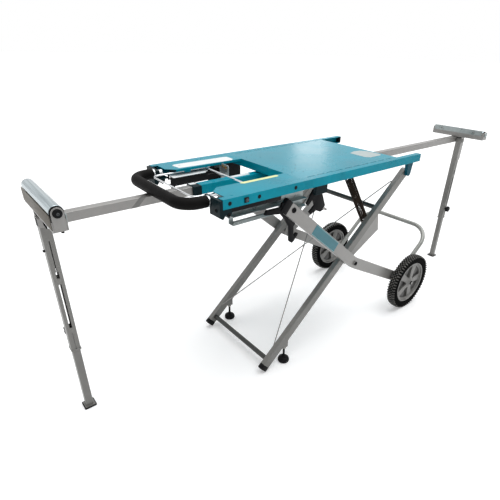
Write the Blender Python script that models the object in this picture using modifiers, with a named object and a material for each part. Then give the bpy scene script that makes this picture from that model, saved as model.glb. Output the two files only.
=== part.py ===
# Folding mitre saw stand: a steel deck on a scissor frame with two wheels, and a
# roller support on an extending arm at each end.
#
# Axes: X runs along the deck from the handle to the wheels, Y across it, Z up.
# The origin is on the floor under the middle. "near" is the -Y side, "far" the +Y
# side, "front" the handle end and "rear" the wheel end. All lengths are in metres.

import bpy
import bmesh
from math import atan2, cos, pi, radians, sin, tan
from mathutils import Matrix, Vector

# Driving dimensions of the whole stand
WORKING_HEIGHT = 0.845
SUPPORT_SPAN = 2.328
DECK_LENGTH = 1.095
DECK_WIDTH = 0.5094
DECK_OFFSET = -0.1745

# Clearances and general stock
GAP = 0.0003
RUNNING_GAP = 0.0005
CUT_OVERRUN = 0.01
SHEET = 0.002
SOFT_EDGE = 0.0008
TUBE_CORNER = 0.0026

# Side rails and deck plates
RAIL_HEIGHT = 0.033
RAIL_FLANGE = 0.025
RAIL_WALL = 0.0025
RAIL_HOLE_RADIUS = 0.006
RAIL_HOLES_FROM_FRONT = (0.026, 0.144, 0.308)
SIDE_PLATE_START = 0.022
SIDE_PLATE_LENGTH = 0.336
SIDE_PLATE_INNER = 0.135
SIDE_PLATE_CHAMFER = 0.032
SIDE_PLATE_LIP = 0.0075
PLATE_LENGTH = 0.584
PLATE_LIP = 0.030
PLATE_LIP_HALF = 0.195
PLATE_SLOT_LENGTH = 0.040
PLATE_SLOT_WIDTH = 0.003
PLATE_SLOT_COUNT = 10
PLATE_SLOT_INSET = 0.006

# End caps and handle
FRONT_CAP_THICKNESS = 0.011
FRONT_CAP_REACH = 0.034
FRONT_CAP_DROP = 0.047
FRONT_CAP_WIDTH = 0.090
FRONT_CAP_LOWER_WIDTH = 0.060
FRONT_CAP_STEP_DROP = 0.037
HANDLE_TUBE_RADIUS = 0.0125
HANDLE_GRIP_RADIUS = 0.0200
HANDLE_SPREAD = 0.190
HANDLE_REACH = 0.098
HANDLE_CORNER = 0.078
HANDLE_DROP = 0.0175
HANDLE_SOCKET = 0.030

# Sliding arms, their sleeves and clamps
ARM_SIZE = 0.032
ARM_WALL = 0.002
ARM_LENGTH = 1.160
ARM_OVERHANG = 0.023
ARM_DROP = 0.0545
FRONT_ARM_Y = 0.036
REAR_ARM_Y = -0.008
SLEEVE_WALL = 0.002
FRONT_SLEEVE_SPAN = (-0.635, -0.315)
REAR_SLEEVE_SPAN = (-0.345, 0.2195)
CLAMP_BLOCK_LENGTH = 0.034
CLAMP_BLOCK_WALL = 0.007
CLAMP_KNOB_RADIUS = 0.0045
CLAMP_LEVER_LENGTH = 0.030
CHANNEL_WIDTH = 0.030
FRONT_CHANNEL_X = -0.332
REAR_CHANNEL_X = 0.180

# Support legs
LEG_SIZE = 0.032
LEG_WALL = 0.002
LEG_ARM_SPACING = 0.0343
LEG_PIVOT_DROP = 0.060
LEG_TUBE_BOTTOM = 0.2815
LEG_SLOT_ABOVE_BOTTOM = 0.100
LEG_SLOT_BELOW_PIVOT = 0.227
LEG_BRIDGE = 0.022
LEG_UPPER_SLOT_LENGTH = 0.025
LEG_UPPER_SLIT_LENGTH = 0.110
LEG_SLOT_WIDTH = 0.009
LEG_SLIT_LENGTH = 0.078
LEG_SLIT_WIDTH = 0.003
LEG_PIVOT_RADIUS = 0.005
LEG_KNOB_ABOVE_BOTTOM = 0.0675
INNER_LEG_WALL = 0.002
INNER_LEG_OVERLAP = 0.093
FOOT_PLATE_SIZE = 0.038
FOOT_PLATE_THICKNESS = 0.006
FOOT_PLUG_HEIGHT = 0.014
KNOB_RADIUS = 0.017
KNOB_LENGTH = 0.022
KNOB_LOBES = 5

# Roller heads
HEAD_LENGTH = 0.316
FRONT_HEAD_WIDTH = 0.040
REAR_HEAD_WIDTH = 0.046
FRONT_HEAD_SIDE = 0.030
REAR_HEAD_SIDE = 0.040
FRONT_HEAD_ABOVE_ARM = 0.0115
REAR_HEAD_ABOVE_ARM = 0.003
HEAD_WALL = 0.003
FRONT_AXLE_ABOVE_DECK = 0.024
REAR_AXLE_BELOW_DECK = 0.0075
HEAD_END_WIDTH = 0.033
FRONT_HEAD_Y = 0.008
REAR_HEAD_Y = -0.027
CHEEK_BELOW_PIVOT = 0.120
CHEEK_THICKNESS = 0.003
ROLLER_RADIUS = 0.0195
ROLLER_END_GAP = 0.002
ROLLER_AXLE_RADIUS = 0.004
STOP_PLATE_HEIGHT = 0.027
STOP_PLATE_LENGTH = 0.296
STOP_PLATE_RISE = 0.015
STOP_PLATE_HOLE = 0.005
STOP_PLATE_HOLE_SPACING = 0.200

# Scissor: foot frame hinged under the deck, wheel frame hinged on the foot frame
HINGE_DROP = 0.085
SLIDER_DROP = 0.095
SCISSOR_HEIGHT_SHARE = 0.46864
FOLD_HINGE = Vector((0.325, 0.0, WORKING_HEIGHT - HINGE_DROP))
SCISSOR_PIVOT = Vector((-0.004, 0.0, WORKING_HEIGHT * SCISSOR_HEIGHT_SHARE))
SLIDER_PIN = Vector((-0.430, 0.0, WORKING_HEIGHT - SLIDER_DROP))
WHEEL_AXLE = Vector((0.448, 0.0, 0.154))
FOOT_END = Vector((-0.514, 0.0, 0.0185))
FOOT_LEG_DEPTH = 0.038
FOOT_LEG_WIDTH = 0.025
FOOT_LEG_Y = 0.2125
WHEEL_LEG_DEPTH = 0.052
WHEEL_LEG_WIDTH = 0.020
WHEEL_LEG_Y = 0.239
WHEEL_LEG_OVERRUN = 0.036
WHEEL_LEG_FORK_START = 0.016
WHEEL_LEG_BEND = 0.16
LEG_EDGE = 0.002
PIVOT_PIN_RADIUS = 0.006
PIN_CLEARANCE = 0.0004
GUSSET_THICKNESS = 0.003
GUSSET_BOSS_RADIUS = 0.024
# Along the foot leg from the fold hinge, and off its centre line
GUSSET_UPPER_EDGE = ((-0.475, -0.013), (-0.242, -0.013), (-0.222, -0.055), (-0.261, -0.128))
GUSSET_SLOT = ((-0.450, -0.024), (-0.305, -0.024), (-0.305, -0.044), (-0.432, -0.038))
CROSS_TUBE_RADIUS = 0.011
UPPER_CROSS_FROM_HINGE = 0.218
FOOT_CROSS_FROM_END = 0.046
WIRE_RADIUS = 0.0015
WIRE_OFFSET = 0.0145
WIRE_HIGH_FROM_HINGE = 0.075
WIRE_LOW_FROM_END = 0.115
WIRE_CLIP_RADIUS = 0.008
LEVELLING_X = -0.388
LEVELLING_DISC_RADIUS = 0.0225
LEVELLING_DISC_HEIGHT = 0.009
LEVELLING_STEM_RADIUS = 0.005
LEVELLING_BRACKET_HEIGHT = 0.024
LEVELLING_BRACKET_SIZE = 0.026
SLIDER_ROLLER_RADIUS = 0.011
SLIDER_ROLLER_LENGTH = 0.020
TRACK_SLOT_HALF = 0.0135
TRACK_SPAN = (-0.664, -0.322)
TRACK_WEB_Y = 0.200
TRACK_FLANGE = 0.025
TRACK_WEB_SLOT = (-0.646, -0.415)
SLIDER_TUBE_RADIUS = 0.0085

# Stand loop and wheels
LOOP_TUBE_RADIUS = 0.0115
LOOP_REACH = 0.334
LOOP_ANGLE = radians(40.4)
LOOP_CORNER = 0.105
WHEEL_RADIUS = 0.154
TYRE_WIDTH = 0.044
RIM_RADIUS = 0.1125
RIM_FLANGE = 0.009
RIM_WIDTH = 0.036
RIM_WEB = 0.024
RIM_WINDOWS = 5
WHEEL_STEPS = 36
HUB_RADIUS = 0.021
HUB_WIDTH = 0.046
AXLE_RADIUS = 0.007
WHEEL_OUTER_FACE_Y = 0.3035

# Assist spring, release bail, catch and lock levers
SPRING_TOP_DROP = 0.055
SPRING_FOOT_RISE = 0.145
SPRING_TOP = Vector((-0.036, -0.177, WORKING_HEIGHT - SPRING_TOP_DROP))
SPRING_BOTTOM = Vector((0.133, -0.177, SCISSOR_PIVOT.z + SPRING_FOOT_RISE))
SPRING_COIL_RADIUS = 0.0160
SPRING_WIRE_RADIUS = 0.0024
SPRING_CURLS = 33
SPRING_POINTS_PER_CURL = 8
SPRING_SEAT_THICKNESS = 0.006
BAIL_WIRE_RADIUS = 0.003
BAIL_FRONT_X = -0.762
BAIL_REAR_X = -0.535
BAIL_HALF_WIDTH = 0.146
BAIL_CORNER = 0.022
BAIL_DROP = 0.0135
RELEASE_ROD_DROP = 0.034
RELEASE_HOUSING_RADIUS = 0.010
RELEASE_HOUSING_SPAN = (-0.530, -0.468)
CATCH_DROP = 0.069
CATCH_PIVOT = Vector((-0.250, -0.2095, WORKING_HEIGHT - CATCH_DROP))
CATCH_LEVER_WIDTH = 0.008
LOCK_LEVER_WIDTH = 0.012
LOCK_PIN_RADIUS = 0.0033
LOCK_RISE = 0.016
LOCK_PIVOT = Vector((-0.454, -0.239, SLIDER_PIN.z + LOCK_RISE))

# Derived places
DECK_FRONT = DECK_OFFSET - DECK_LENGTH / 2
DECK_REAR = DECK_OFFSET + DECK_LENGTH / 2
RAIL_OUTER_Y = DECK_WIDTH / 2
RAIL_INNER_Y = RAIL_OUTER_Y - RAIL_FLANGE
RAIL_BOTTOM = WORKING_HEIGHT - RAIL_HEIGHT
PLATE_UNDERSIDE = WORKING_HEIGHT - SHEET
SIDE_PLATE_FRONT = DECK_FRONT + SIDE_PLATE_START
PLATE_FRONT = SIDE_PLATE_FRONT + SIDE_PLATE_LENGTH
PLATE_REAR = PLATE_FRONT + PLATE_LENGTH
ARM_Z = WORKING_HEIGHT - ARM_DROP
LEG_PIVOT_Z = WORKING_HEIGHT - LEG_PIVOT_DROP
LEG_SLOT_SPAN = (LEG_TUBE_BOTTOM + LEG_SLOT_ABOVE_BOTTOM, LEG_PIVOT_Z - LEG_SLOT_BELOW_PIVOT)
LEG_SLIT_SPAN = (LEG_TUBE_BOTTOM - CUT_OVERRUN, LEG_TUBE_BOTTOM + LEG_SLIT_LENGTH)
LEG_UPPER_SLOT_SPAN = (LEG_SLOT_SPAN[1] + LEG_BRIDGE,
                       LEG_SLOT_SPAN[1] + LEG_BRIDGE + LEG_UPPER_SLOT_LENGTH)
LEG_UPPER_SLIT_SPAN = (LEG_UPPER_SLOT_SPAN[1] - SHEET,
                       LEG_UPPER_SLOT_SPAN[1] + LEG_UPPER_SLIT_LENGTH)
LEG_KNOB_HEIGHT = LEG_TUBE_BOTTOM + LEG_KNOB_ABOVE_BOTTOM
INNER_LEG_TOP = LEG_TUBE_BOTTOM + INNER_LEG_OVERLAP
SLEEVE_SIZE = ARM_SIZE + 2 * (RUNNING_GAP + SLEEVE_WALL)
ARM_TOP = ARM_Z + ARM_SIZE / 2
# Each head's width, side height, underside and axle height: the front one is set higher
HEADS = {-1: (FRONT_HEAD_WIDTH, FRONT_HEAD_SIDE, ARM_TOP + FRONT_HEAD_ABOVE_ARM,
              WORKING_HEIGHT + FRONT_AXLE_ABOVE_DECK),
         1: (REAR_HEAD_WIDTH, REAR_HEAD_SIDE, ARM_TOP + REAR_HEAD_ABOVE_ARM,
             WORKING_HEIGHT - REAR_AXLE_BELOW_DECK)}
FOOT_LEG_TOWARDS_HINGE = (FOLD_HINGE - FOOT_END).normalized()
FOOT_LEG_NORMAL = Vector((-FOOT_LEG_TOWARDS_HINGE.z, 0.0, FOOT_LEG_TOWARDS_HINGE.x))
FOOT_LEG_TILT = atan2(FOOT_LEG_TOWARDS_HINGE.z, FOOT_LEG_TOWARDS_HINGE.x)
FOOT_LEG_INNER_Y = FOOT_LEG_Y - FOOT_LEG_WIDTH / 2
FOOT_LEG_OUTER_Y = FOOT_LEG_Y + FOOT_LEG_WIDTH / 2
WHEEL_LEG_INNER_Y = WHEEL_LEG_Y - WHEEL_LEG_WIDTH / 2
WHEEL_LEG_OUTER_Y = WHEEL_LEG_Y + WHEEL_LEG_WIDTH / 2
LUG_BOTTOM = (FOLD_HINGE.z - (FOLD_HINGE.x - LEVELLING_X) * tan(FOOT_LEG_TILT)
              - FOOT_LEG_DEPTH / 2 / cos(FOOT_LEG_TILT) - LEVELLING_BRACKET_HEIGHT)
LOOP_SIDE_Y = WHEEL_LEG_INNER_Y - LOOP_TUBE_RADIUS - GAP
WHEEL_MIDDLE_Y = WHEEL_OUTER_FACE_Y - TYRE_WIDTH / 2

SIDES = (("near", -1), ("far", 1))

# Shares of the sizes above
LOBE_DEPTH_SHARE = 0.12
BRACKET_RADIUS_SHARE = 0.36
BRACKET_TOP_SHARE = 0.58
BRACKET_WIDTH_SHARE = 0.6
CATCH_BLOCK_SHARE = 1.7
CATCH_PLUNGER_SHARE = 0.7
HUB_FACE_SHARE = 0.8
HUB_FOOT_SHARE = 1.25
RIM_LIP_SHARE = 0.8
SPOKE_SHARE = 0.55
WINDOW_SHARE = 1.7
# The tyre's section from its bed to its crown: rise and half width
TYRE_SHARES = ((0.0, 0.7), (0.12, 1.0), (0.6, 1.0), (0.84, 0.9), (1.0, 0.62))
# The catch lever's outline round its pivot, and its plunger, in foot leg depths
CATCH_LEVER_SHARES = ((-0.35, 0.30), (0.35, 0.30), (1.35, -1.90), (0.90, -2.20),
                      (0.05, -0.75), (-0.95, -1.75), (-1.45, -1.45))
CATCH_PLUNGER_PLACE_SHARES = (1.1, -2.1)
CATCH_PLUNGER_WAY = Vector((0.5, 0.0, -0.87))
LEVELLING_DISC_SHARES = ((0.45, 1.6), (0.8, 1.2), (1.0, 0.6), (1.0, 0.0))
# The lock lever's outline round its pivot, in leg depths: handle, elbow, arm and hook
LOCK_LEVER_SHARES = ((-0.25, -0.28), (-1.68, -0.16), (-1.73, 0.16), (-0.20, 0.30),
                     (0.08, 0.18), (0.14, -0.08), (-0.148, -0.513), (0.05, -0.67),
                     (0.68, -1.70),
                     (0.76, -2.45), (1.16, -2.15), (1.37, -2.40), (1.04, -2.93),
                     (0.62, -2.90), (0.42, -2.42), (0.36, -1.72), (-0.22, -0.72))


def clear_scene():
    for item in list(bpy.data.objects):
        bpy.data.objects.remove(item, do_unlink=True)


def new_collection(name):
    collection = bpy.data.collections.new(name)
    bpy.context.scene.collection.children.link(collection)
    return collection


clear_scene()
STAND = new_collection("saw_stand")
CUTTERS = new_collection("cutters")


def finish(name, colour, roughness, metallic=0.0):
    material = bpy.data.materials.new(name)
    material.use_nodes = True
    shader = material.node_tree.nodes["Principled BSDF"]
    shader.inputs["Base Color"].default_value = (*colour, 1.0)
    shader.inputs["Roughness"].default_value = roughness
    shader.inputs["Metallic"].default_value = metallic
    return material


def teal_paint(name):
    return finish(name, (0.02, 0.24, 0.29), 0.38)


def silver_paint(name):
    return finish(name, (0.42, 0.42, 0.41), 0.42, 0.55)


def zinc_plate(name):
    return finish(name, (0.62, 0.62, 0.60), 0.32, 0.9)


def black_plastic(name):
    return finish(name, (0.02, 0.02, 0.022), 0.55)


def dark_teal_plastic(name):
    return finish(name, (0.01, 0.06, 0.08), 0.5)


def link(mesh, name, material, collection=STAND):
    piece = bpy.data.objects.new(name, mesh)
    collection.objects.link(piece)
    if material is not None:
        mesh.materials.clear()
        mesh.materials.append(material)
    return piece


def smooth(piece, angle=radians(35)):
    piece.data.shade_smooth()
    piece.data.set_sharp_from_angle(angle=angle)
    return piece


def soften(piece, width=SOFT_EDGE, segments=1):
    edge = piece.modifiers.new("soft edges", "BEVEL")
    edge.width = width
    edge.segments = segments
    edge.limit_method = "ANGLE"
    return piece


def box(name, size, centre, material=None, collection=STAND):
    mesh = bpy.data.meshes.new(name)
    shape = bmesh.new()
    bmesh.ops.create_cube(shape, size=1.0)
    bmesh.ops.scale(shape, vec=size, verts=shape.verts)
    shape.to_mesh(mesh)
    shape.free()
    piece = link(mesh, name, material, collection)
    piece.location = centre
    return piece


def cylinder(name, radius, length, centre, axis, material=None, segments=24,
             collection=STAND):
    mesh = bpy.data.meshes.new(name)
    shape = bmesh.new()
    bmesh.ops.create_cone(shape, cap_ends=True, segments=segments, radius1=radius,
                          radius2=radius, depth=length)
    shape.to_mesh(mesh)
    shape.free()
    piece = link(mesh, name, material, collection)
    piece.rotation_mode = "QUATERNION"
    piece.rotation_quaternion = Vector((0, 0, 1)).rotation_difference(Vector(axis))
    piece.location = centre
    return piece


def baked(source):
    """A plain mesh of an object as it is evaluated, with its place in its vertices."""
    bpy.context.view_layer.update()
    evaluated = source.evaluated_get(bpy.context.evaluated_depsgraph_get())
    mesh = bpy.data.meshes.new_from_object(evaluated)
    mesh.transform(source.matrix_world)
    shape = bmesh.new()
    shape.from_mesh(mesh)
    bmesh.ops.remove_doubles(shape, verts=shape.verts, dist=GAP / 10)
    bmesh.ops.recalc_face_normals(shape, faces=shape.faces)
    shape.to_mesh(mesh)
    shape.free()
    return mesh


def from_curve(name, curve, matrix, material, collection=STAND):
    draft = bpy.data.objects.new(name, curve)
    STAND.objects.link(draft)
    draft.matrix_world = matrix
    mesh = baked(draft)
    bpy.data.objects.remove(draft, do_unlink=True)
    mesh.name = name
    return link(mesh, name, material, collection)


# Planes for flat outlines: each takes the outline's two coordinates and its thickness
FACING = {
    "XZ": Matrix(((1, 0, 0, 0), (0, 0, -1, 0), (0, 1, 0, 0), (0, 0, 0, 1))),
    "YZ": Matrix(((0, 0, 1, 0), (1, 0, 0, 0), (0, 1, 0, 0), (0, 0, 0, 1))),
    "XY": Matrix.Identity(4),
}


def outline(name, loops, thickness, plane, place, material=None, collection=STAND):
    """A flat outline, with any holes as further loops, given its thickness."""
    curve = bpy.data.curves.new(name, "CURVE")
    curve.dimensions = "2D"
    curve.fill_mode = "BOTH"
    curve.extrude = thickness / 2
    for loop in loops:
        spline = curve.splines.new("POLY")
        spline.points.add(len(loop) - 1)
        for point, (across, up) in zip(spline.points, loop):
            point.co = (across, up, 0.0, 1.0)
        spline.use_cyclic_u = True
    matrix = Matrix.Translation(place) @ FACING[plane]
    return from_curve(name, curve, matrix, material, collection)


def rod(name, points, radius, material=None, resolution=2, collection=STAND):
    """A round bar or tube through the points, closed at its ends."""
    curve = bpy.data.curves.new(name, "CURVE")
    curve.dimensions = "3D"
    curve.bevel_depth = radius
    curve.bevel_resolution = resolution
    curve.use_fill_caps = True
    spline = curve.splines.new("POLY")
    spline.points.add(len(points) - 1)
    for point, place in zip(spline.points, points):
        point.co = (*place, 1.0)
    piece = from_curve(name, curve, Matrix.Identity(4), material, collection)
    return smooth(piece)


def modify(piece, cutter, operation):
    step = piece.modifiers.new(operation.lower(), "BOOLEAN")
    step.operation = operation
    step.solver = "EXACT"
    step.object = cutter
    cutter.hide_render = True
    cutter.display_type = "WIRE"
    return piece


def cut(piece, cutter):
    return modify(piece, cutter, "DIFFERENCE")


def weld(piece, addition):
    return modify(piece, addition, "UNION")


def arc(centre, radius, start, end, steps):
    points = []
    for step in range(steps + 1):
        angle = start + (end - start) * step / steps
        points.append((centre[0] + radius * cos(angle), centre[1] + radius * sin(angle)))
    return points


def rectangle(width, height, middle=(0.0, 0.0)):
    half_w = width / 2
    half_h = height / 2
    return [(middle[0] + x * half_w, middle[1] + y * half_h)
            for x, y in ((-1, -1), (1, -1), (1, 1), (-1, 1))]


def rounded_rectangle(width, height, radius, steps=3, middle=(0.0, 0.0)):
    points = []
    for quarter, (x, y) in enumerate(((1, 1), (-1, 1), (-1, -1), (1, -1))):
        corner = (middle[0] + x * (width / 2 - radius), middle[1] + y * (height / 2 - radius))
        points += arc(corner, radius, quarter * pi / 2, (quarter + 1) * pi / 2, steps)
    return points


def circle(centre, radius, segments=20):
    return arc(centre, radius, 0.0, 2 * pi, segments)[:-1]


def bent_path(points, corner, steps=5):
    """The points joined by straight runs, each inner corner replaced by an arc."""
    path = [Vector(points[0])]
    for before, here, after in zip(points, points[1:], points[2:]):
        here = Vector(here)
        back = (Vector(before) - here).normalized()
        ahead = (Vector(after) - here).normalized()
        half_turn = back.angle(ahead) / 2
        inset = corner / tan(half_turn)
        middle = here + (back + ahead).normalized() * corner / sin(half_turn)
        start = here + back * inset - middle
        end = here + ahead * inset - middle
        for step in range(steps + 1):
            share = step / steps
            path.append(middle + start.slerp(end, share).normalized() * corner)
    path.append(Vector(points[-1]))
    return path


def pivot(name, place):
    """An empty on a joint's axis, which carries the pieces that move with it."""
    empty = bpy.data.objects.new(name, None)
    STAND.objects.link(empty)
    empty.location = place
    return empty


def carry(empty, *pieces):
    for piece in pieces:
        piece.parent = empty
        piece.matrix_parent_inverse = Matrix.Translation(-empty.location)


# The deck: rails, plates, caps and handle

def rail(name, side):
    """A channel with its web outside, which runs the whole length of the deck."""
    height = RAIL_HEIGHT
    outer = side * RAIL_OUTER_Y
    inner = side * RAIL_INNER_Y
    wall = side * RAIL_WALL
    section = [(inner, RAIL_BOTTOM), (outer, RAIL_BOTTOM), (outer, WORKING_HEIGHT),
               (inner, WORKING_HEIGHT), (inner, WORKING_HEIGHT - RAIL_WALL),
               (outer - wall, WORKING_HEIGHT - RAIL_WALL),
               (outer - wall, RAIL_BOTTOM + RAIL_WALL), (inner, RAIL_BOTTOM + RAIL_WALL)]
    piece = outline(name, [section], DECK_LENGTH, "YZ", (DECK_OFFSET, 0, 0),
                    teal_paint(name + "_teal"))
    for number, distance in enumerate(RAIL_HOLES_FROM_FRONT):
        hole = cylinder(f"{name}_hole_{number}", RAIL_HOLE_RADIUS, RAIL_WALL * 4,
                        (DECK_FRONT + distance, outer, RAIL_BOTTOM + height / 2),
                        (0, 1, 0), segments=16, collection=CUTTERS)
        cut(piece, hole)
    return piece


def bail_guide(name, side):
    """A small block under a side plate, which the release bail slides through."""
    block = box(name, (RAIL_FLANGE, RAIL_FLANGE / 2, BAIL_DROP + BAIL_WIRE_RADIUS),
                (SIDE_PLATE_FRONT + SIDE_PLATE_LENGTH / 4, side * BAIL_HALF_WIDTH,
                 PLATE_UNDERSIDE - (BAIL_DROP + BAIL_WIRE_RADIUS) / 2 + GAP),
                collection=CUTTERS)
    return block


def side_plate(name, side):
    """The flat strip beside the opening, with a chamfered corner and a short lip."""
    outer = side * (RAIL_INNER_Y - GAP)
    inner = side * SIDE_PLATE_INNER
    chamfer = SIDE_PLATE_CHAMFER
    end = PLATE_FRONT - GAP
    flat = [(SIDE_PLATE_FRONT, outer), (end, outer), (end, inner),
            (SIDE_PLATE_FRONT + chamfer, inner),
            (SIDE_PLATE_FRONT, inner + side * chamfer)]
    piece = outline(name, [flat], SHEET, "XY", (0, 0, WORKING_HEIGHT - SHEET / 2),
                    teal_paint(name + "_teal"))
    lip_length = end - SIDE_PLATE_FRONT - chamfer
    lip = box(name + "_lip", (lip_length, SHEET, SIDE_PLATE_LIP + SHEET),
              (end - lip_length / 2, inner + side * SHEET / 2,
               WORKING_HEIGHT - (SIDE_PLATE_LIP + SHEET) / 2), collection=CUTTERS)
    weld(piece, lip)
    weld(piece, bail_guide(name + "_bail_guide", side))
    bore = cylinder(name + "_bail_bore", BAIL_WIRE_RADIUS + RUNNING_GAP, RAIL_FLANGE * 2,
                    (SIDE_PLATE_FRONT + SIDE_PLATE_LENGTH / 4, side * BAIL_HALF_WIDTH,
                     WORKING_HEIGHT - BAIL_DROP), (1, 0, 0), segments=16, collection=CUTTERS)
    return cut(piece, bore)


def deck_plate():
    """The saw's table: one folded sheet with a lip down at each end, slotted by the rails."""
    half = RAIL_INNER_Y - GAP
    middle = (PLATE_FRONT + PLATE_REAR) / 2
    flat = rectangle(PLATE_LENGTH, 2 * half, (middle, 0.0))
    slots = []
    pitch = PLATE_LENGTH / (PLATE_SLOT_COUNT + 1)
    for side in (-1, 1):
        for number in range(PLATE_SLOT_COUNT):
            where = (PLATE_FRONT + pitch * (number + 1), side * (half - PLATE_SLOT_INSET))
            slots.append(rectangle(PLATE_SLOT_LENGTH, PLATE_SLOT_WIDTH, where))
    piece = outline("deck_plate", [flat] + slots, SHEET, "XY",
                    (0, 0, WORKING_HEIGHT - SHEET / 2), teal_paint("deck_teal"))
    for name, place, turned_in, half_length in (
            ("front", PLATE_FRONT, 1, PLATE_LIP_HALF), ("rear", PLATE_REAR, -1, half - SHEET)):
        section = [(place, WORKING_HEIGHT - SHEET / 2), (place, WORKING_HEIGHT - PLATE_LIP),
                   (place + turned_in * PLATE_LIP / 2, WORKING_HEIGHT - PLATE_LIP),
                   (place + turned_in * PLATE_LIP / 2, WORKING_HEIGHT - PLATE_LIP + SHEET),
                   (place + turned_in * SHEET, WORKING_HEIGHT - PLATE_LIP + SHEET),
                   (place + turned_in * SHEET, WORKING_HEIGHT - SHEET / 2)]
        lip = outline(f"deck_{name}_lip", [section], 2 * half_length, "XZ", (0, 0, 0),
                      collection=CUTTERS)
        weld(piece, lip)
    weld(piece, spring_hanger())
    return piece


def cross_channel(name, place, half_length):
    """A channel across the underside of the deck plate, which an arm sleeve hangs from."""
    top = PLATE_UNDERSIDE - GAP
    bottom = ARM_Z + SLEEVE_SIZE / 2 + GAP
    left = place - CHANNEL_WIDTH / 2
    right = place + CHANNEL_WIDTH / 2
    section = [(left, bottom), (right, bottom), (right, bottom + SHEET),
               (left + SHEET, bottom + SHEET), (left + SHEET, top - SHEET),
               (right, top - SHEET), (right, top), (left, top)]
    return outline(name, [section], 2 * half_length, "XZ", (0, 0, 0),
                   teal_paint(name + "_teal"))


def front_cap(name, side):
    """The moulded cap at a rail's front end: it closes the rail and holds the handle."""
    front = DECK_FRONT - FRONT_CAP_THICKNESS
    back = DECK_FRONT + FRONT_CAP_REACH
    step = DECK_FRONT - GAP
    under = RAIL_BOTTOM - GAP
    drop = WORKING_HEIGHT - 2 * RAIL_HEIGHT
    lobe = FRONT_CAP_DROP - RAIL_HEIGHT
    quarter = (back - front) / 4
    profile = [(front, WORKING_HEIGHT - SHEET), (front, drop + lobe / 2),
               (front + quarter, drop), (front + 2 * quarter, drop + lobe),
               (front + 3 * quarter, drop), (back, drop + lobe),
               (back, WORKING_HEIGHT - SHEET)]
    middle_y = side * (RAIL_OUTER_Y - FRONT_CAP_WIDTH / 2)
    piece = outline(name, [profile], FRONT_CAP_WIDTH, "XZ", (0, middle_y, 0),
                    dark_teal_plastic(name + "_moulding"))
    socket = cylinder(name + "_socket", HANDLE_TUBE_RADIUS + GAP, 4 * HANDLE_SOCKET,
                      (front, side * HANDLE_SPREAD, WORKING_HEIGHT - HANDLE_DROP), (1, 0, 0),
                      collection=CUTTERS)
    soften(piece, SHEET / 2)
    cut(piece, socket)
    rail_seat = box(name + "_rail_seat", (2 * FRONT_CAP_REACH, 2 * FRONT_CAP_WIDTH,
                                          2 * RAIL_HEIGHT),
                    (step + FRONT_CAP_REACH, middle_y, under + RAIL_HEIGHT),
                    collection=CUTTERS)
    cut(piece, rail_seat)
    inner_corner = box(name + "_corner", (4 * FRONT_CAP_REACH, FRONT_CAP_WIDTH, RAIL_HEIGHT),
                       (front, side * (RAIL_OUTER_Y - FRONT_CAP_LOWER_WIDTH
                                       - FRONT_CAP_WIDTH / 2),
                        WORKING_HEIGHT - FRONT_CAP_STEP_DROP - RAIL_HEIGHT / 2),
                       collection=CUTTERS)
    return cut(piece, inner_corner)


def handle_path(end_inset):
    """The handle's centre line, from the near cap round to the far one."""
    height = WORKING_HEIGHT - HANDLE_DROP
    front = DECK_FRONT - HANDLE_REACH
    end = DECK_FRONT - FRONT_CAP_THICKNESS + end_inset
    corners = [(end, -HANDLE_SPREAD, height), (front, -HANDLE_SPREAD, height),
               (front, HANDLE_SPREAD, height), (end, HANDLE_SPREAD, height)]
    return bent_path(corners, HANDLE_CORNER, 7)


def handle():
    """A bent steel tube in the caps, and the foam grip over its open run."""
    tube = rod("handle_tube", handle_path(HANDLE_SOCKET), HANDLE_TUBE_RADIUS,
               zinc_plate("handle_steel"), 3)
    grip = rod("handle_grip", handle_path(-SHEET), HANDLE_GRIP_RADIUS,
               black_plastic("grip_foam"), 3)
    bore = rod("handle_grip_bore", handle_path(CUT_OVERRUN), HANDLE_TUBE_RADIUS + GAP,
               None, 3, CUTTERS)
    cut(grip, bore)
    return tube, grip


# Arms, sleeves and clamps

def square_section(size, wall):
    return [rounded_rectangle(size, size, TUBE_CORNER, 2),
            rounded_rectangle(size - 2 * wall, size - 2 * wall, TUBE_CORNER / 2, 2)]


def sleeve(name, span, arm_y):
    """A square sleeve that an arm slides in, bolted under the cross channels."""
    return outline(name, square_section(SLEEVE_SIZE, SLEEVE_WALL), span[1] - span[0], "YZ",
                   ((span[0] + span[1]) / 2, arm_y, ARM_Z), teal_paint(name + "_teal"))


def clamp_block(name, place_x, arm_y):
    """A moulded block round the arm at its sleeve's mouth, which the clamp screw goes in."""
    outer = SLEEVE_SIZE + 2 * CLAMP_BLOCK_WALL
    section = [rounded_rectangle(outer, SLEEVE_SIZE, CLAMP_BLOCK_WALL / 2, 3),
               rounded_rectangle(ARM_SIZE + 2 * RUNNING_GAP, ARM_SIZE + 2 * RUNNING_GAP,
                                 SHEET, 2)]
    piece = outline(name, section, CLAMP_BLOCK_LENGTH, "YZ", (place_x, arm_y, ARM_Z),
                    dark_teal_plastic(name + "_moulding"))
    return soften(piece)


def clamp_lever(name, place, axis, way, material_name):
    """A small clamp screw with a flat lever on its head, turned towards way along X."""
    axis = Vector(axis)
    screw = cylinder(name, CLAMP_KNOB_RADIUS, CLAMP_LEVER_LENGTH / 2,
                     Vector(place) + axis * CLAMP_LEVER_LENGTH / 4, axis,
                     black_plastic(material_name), 16)
    blade = box(name + "_blade", (CLAMP_LEVER_LENGTH, CLAMP_KNOB_RADIUS * 2, CLAMP_KNOB_RADIUS),
                Vector(place) + axis * CLAMP_LEVER_LENGTH / 2
                + Vector((way * CLAMP_LEVER_LENGTH / 3, 0, 0)), collection=CUTTERS)
    if abs(axis.y) > abs(axis.z):
        blade.rotation_euler = (pi / 2, 0, 0)
    soften(blade, SOFT_EDGE)
    weld(screw, blade)
    return smooth(screw)


# Roller supports

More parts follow.
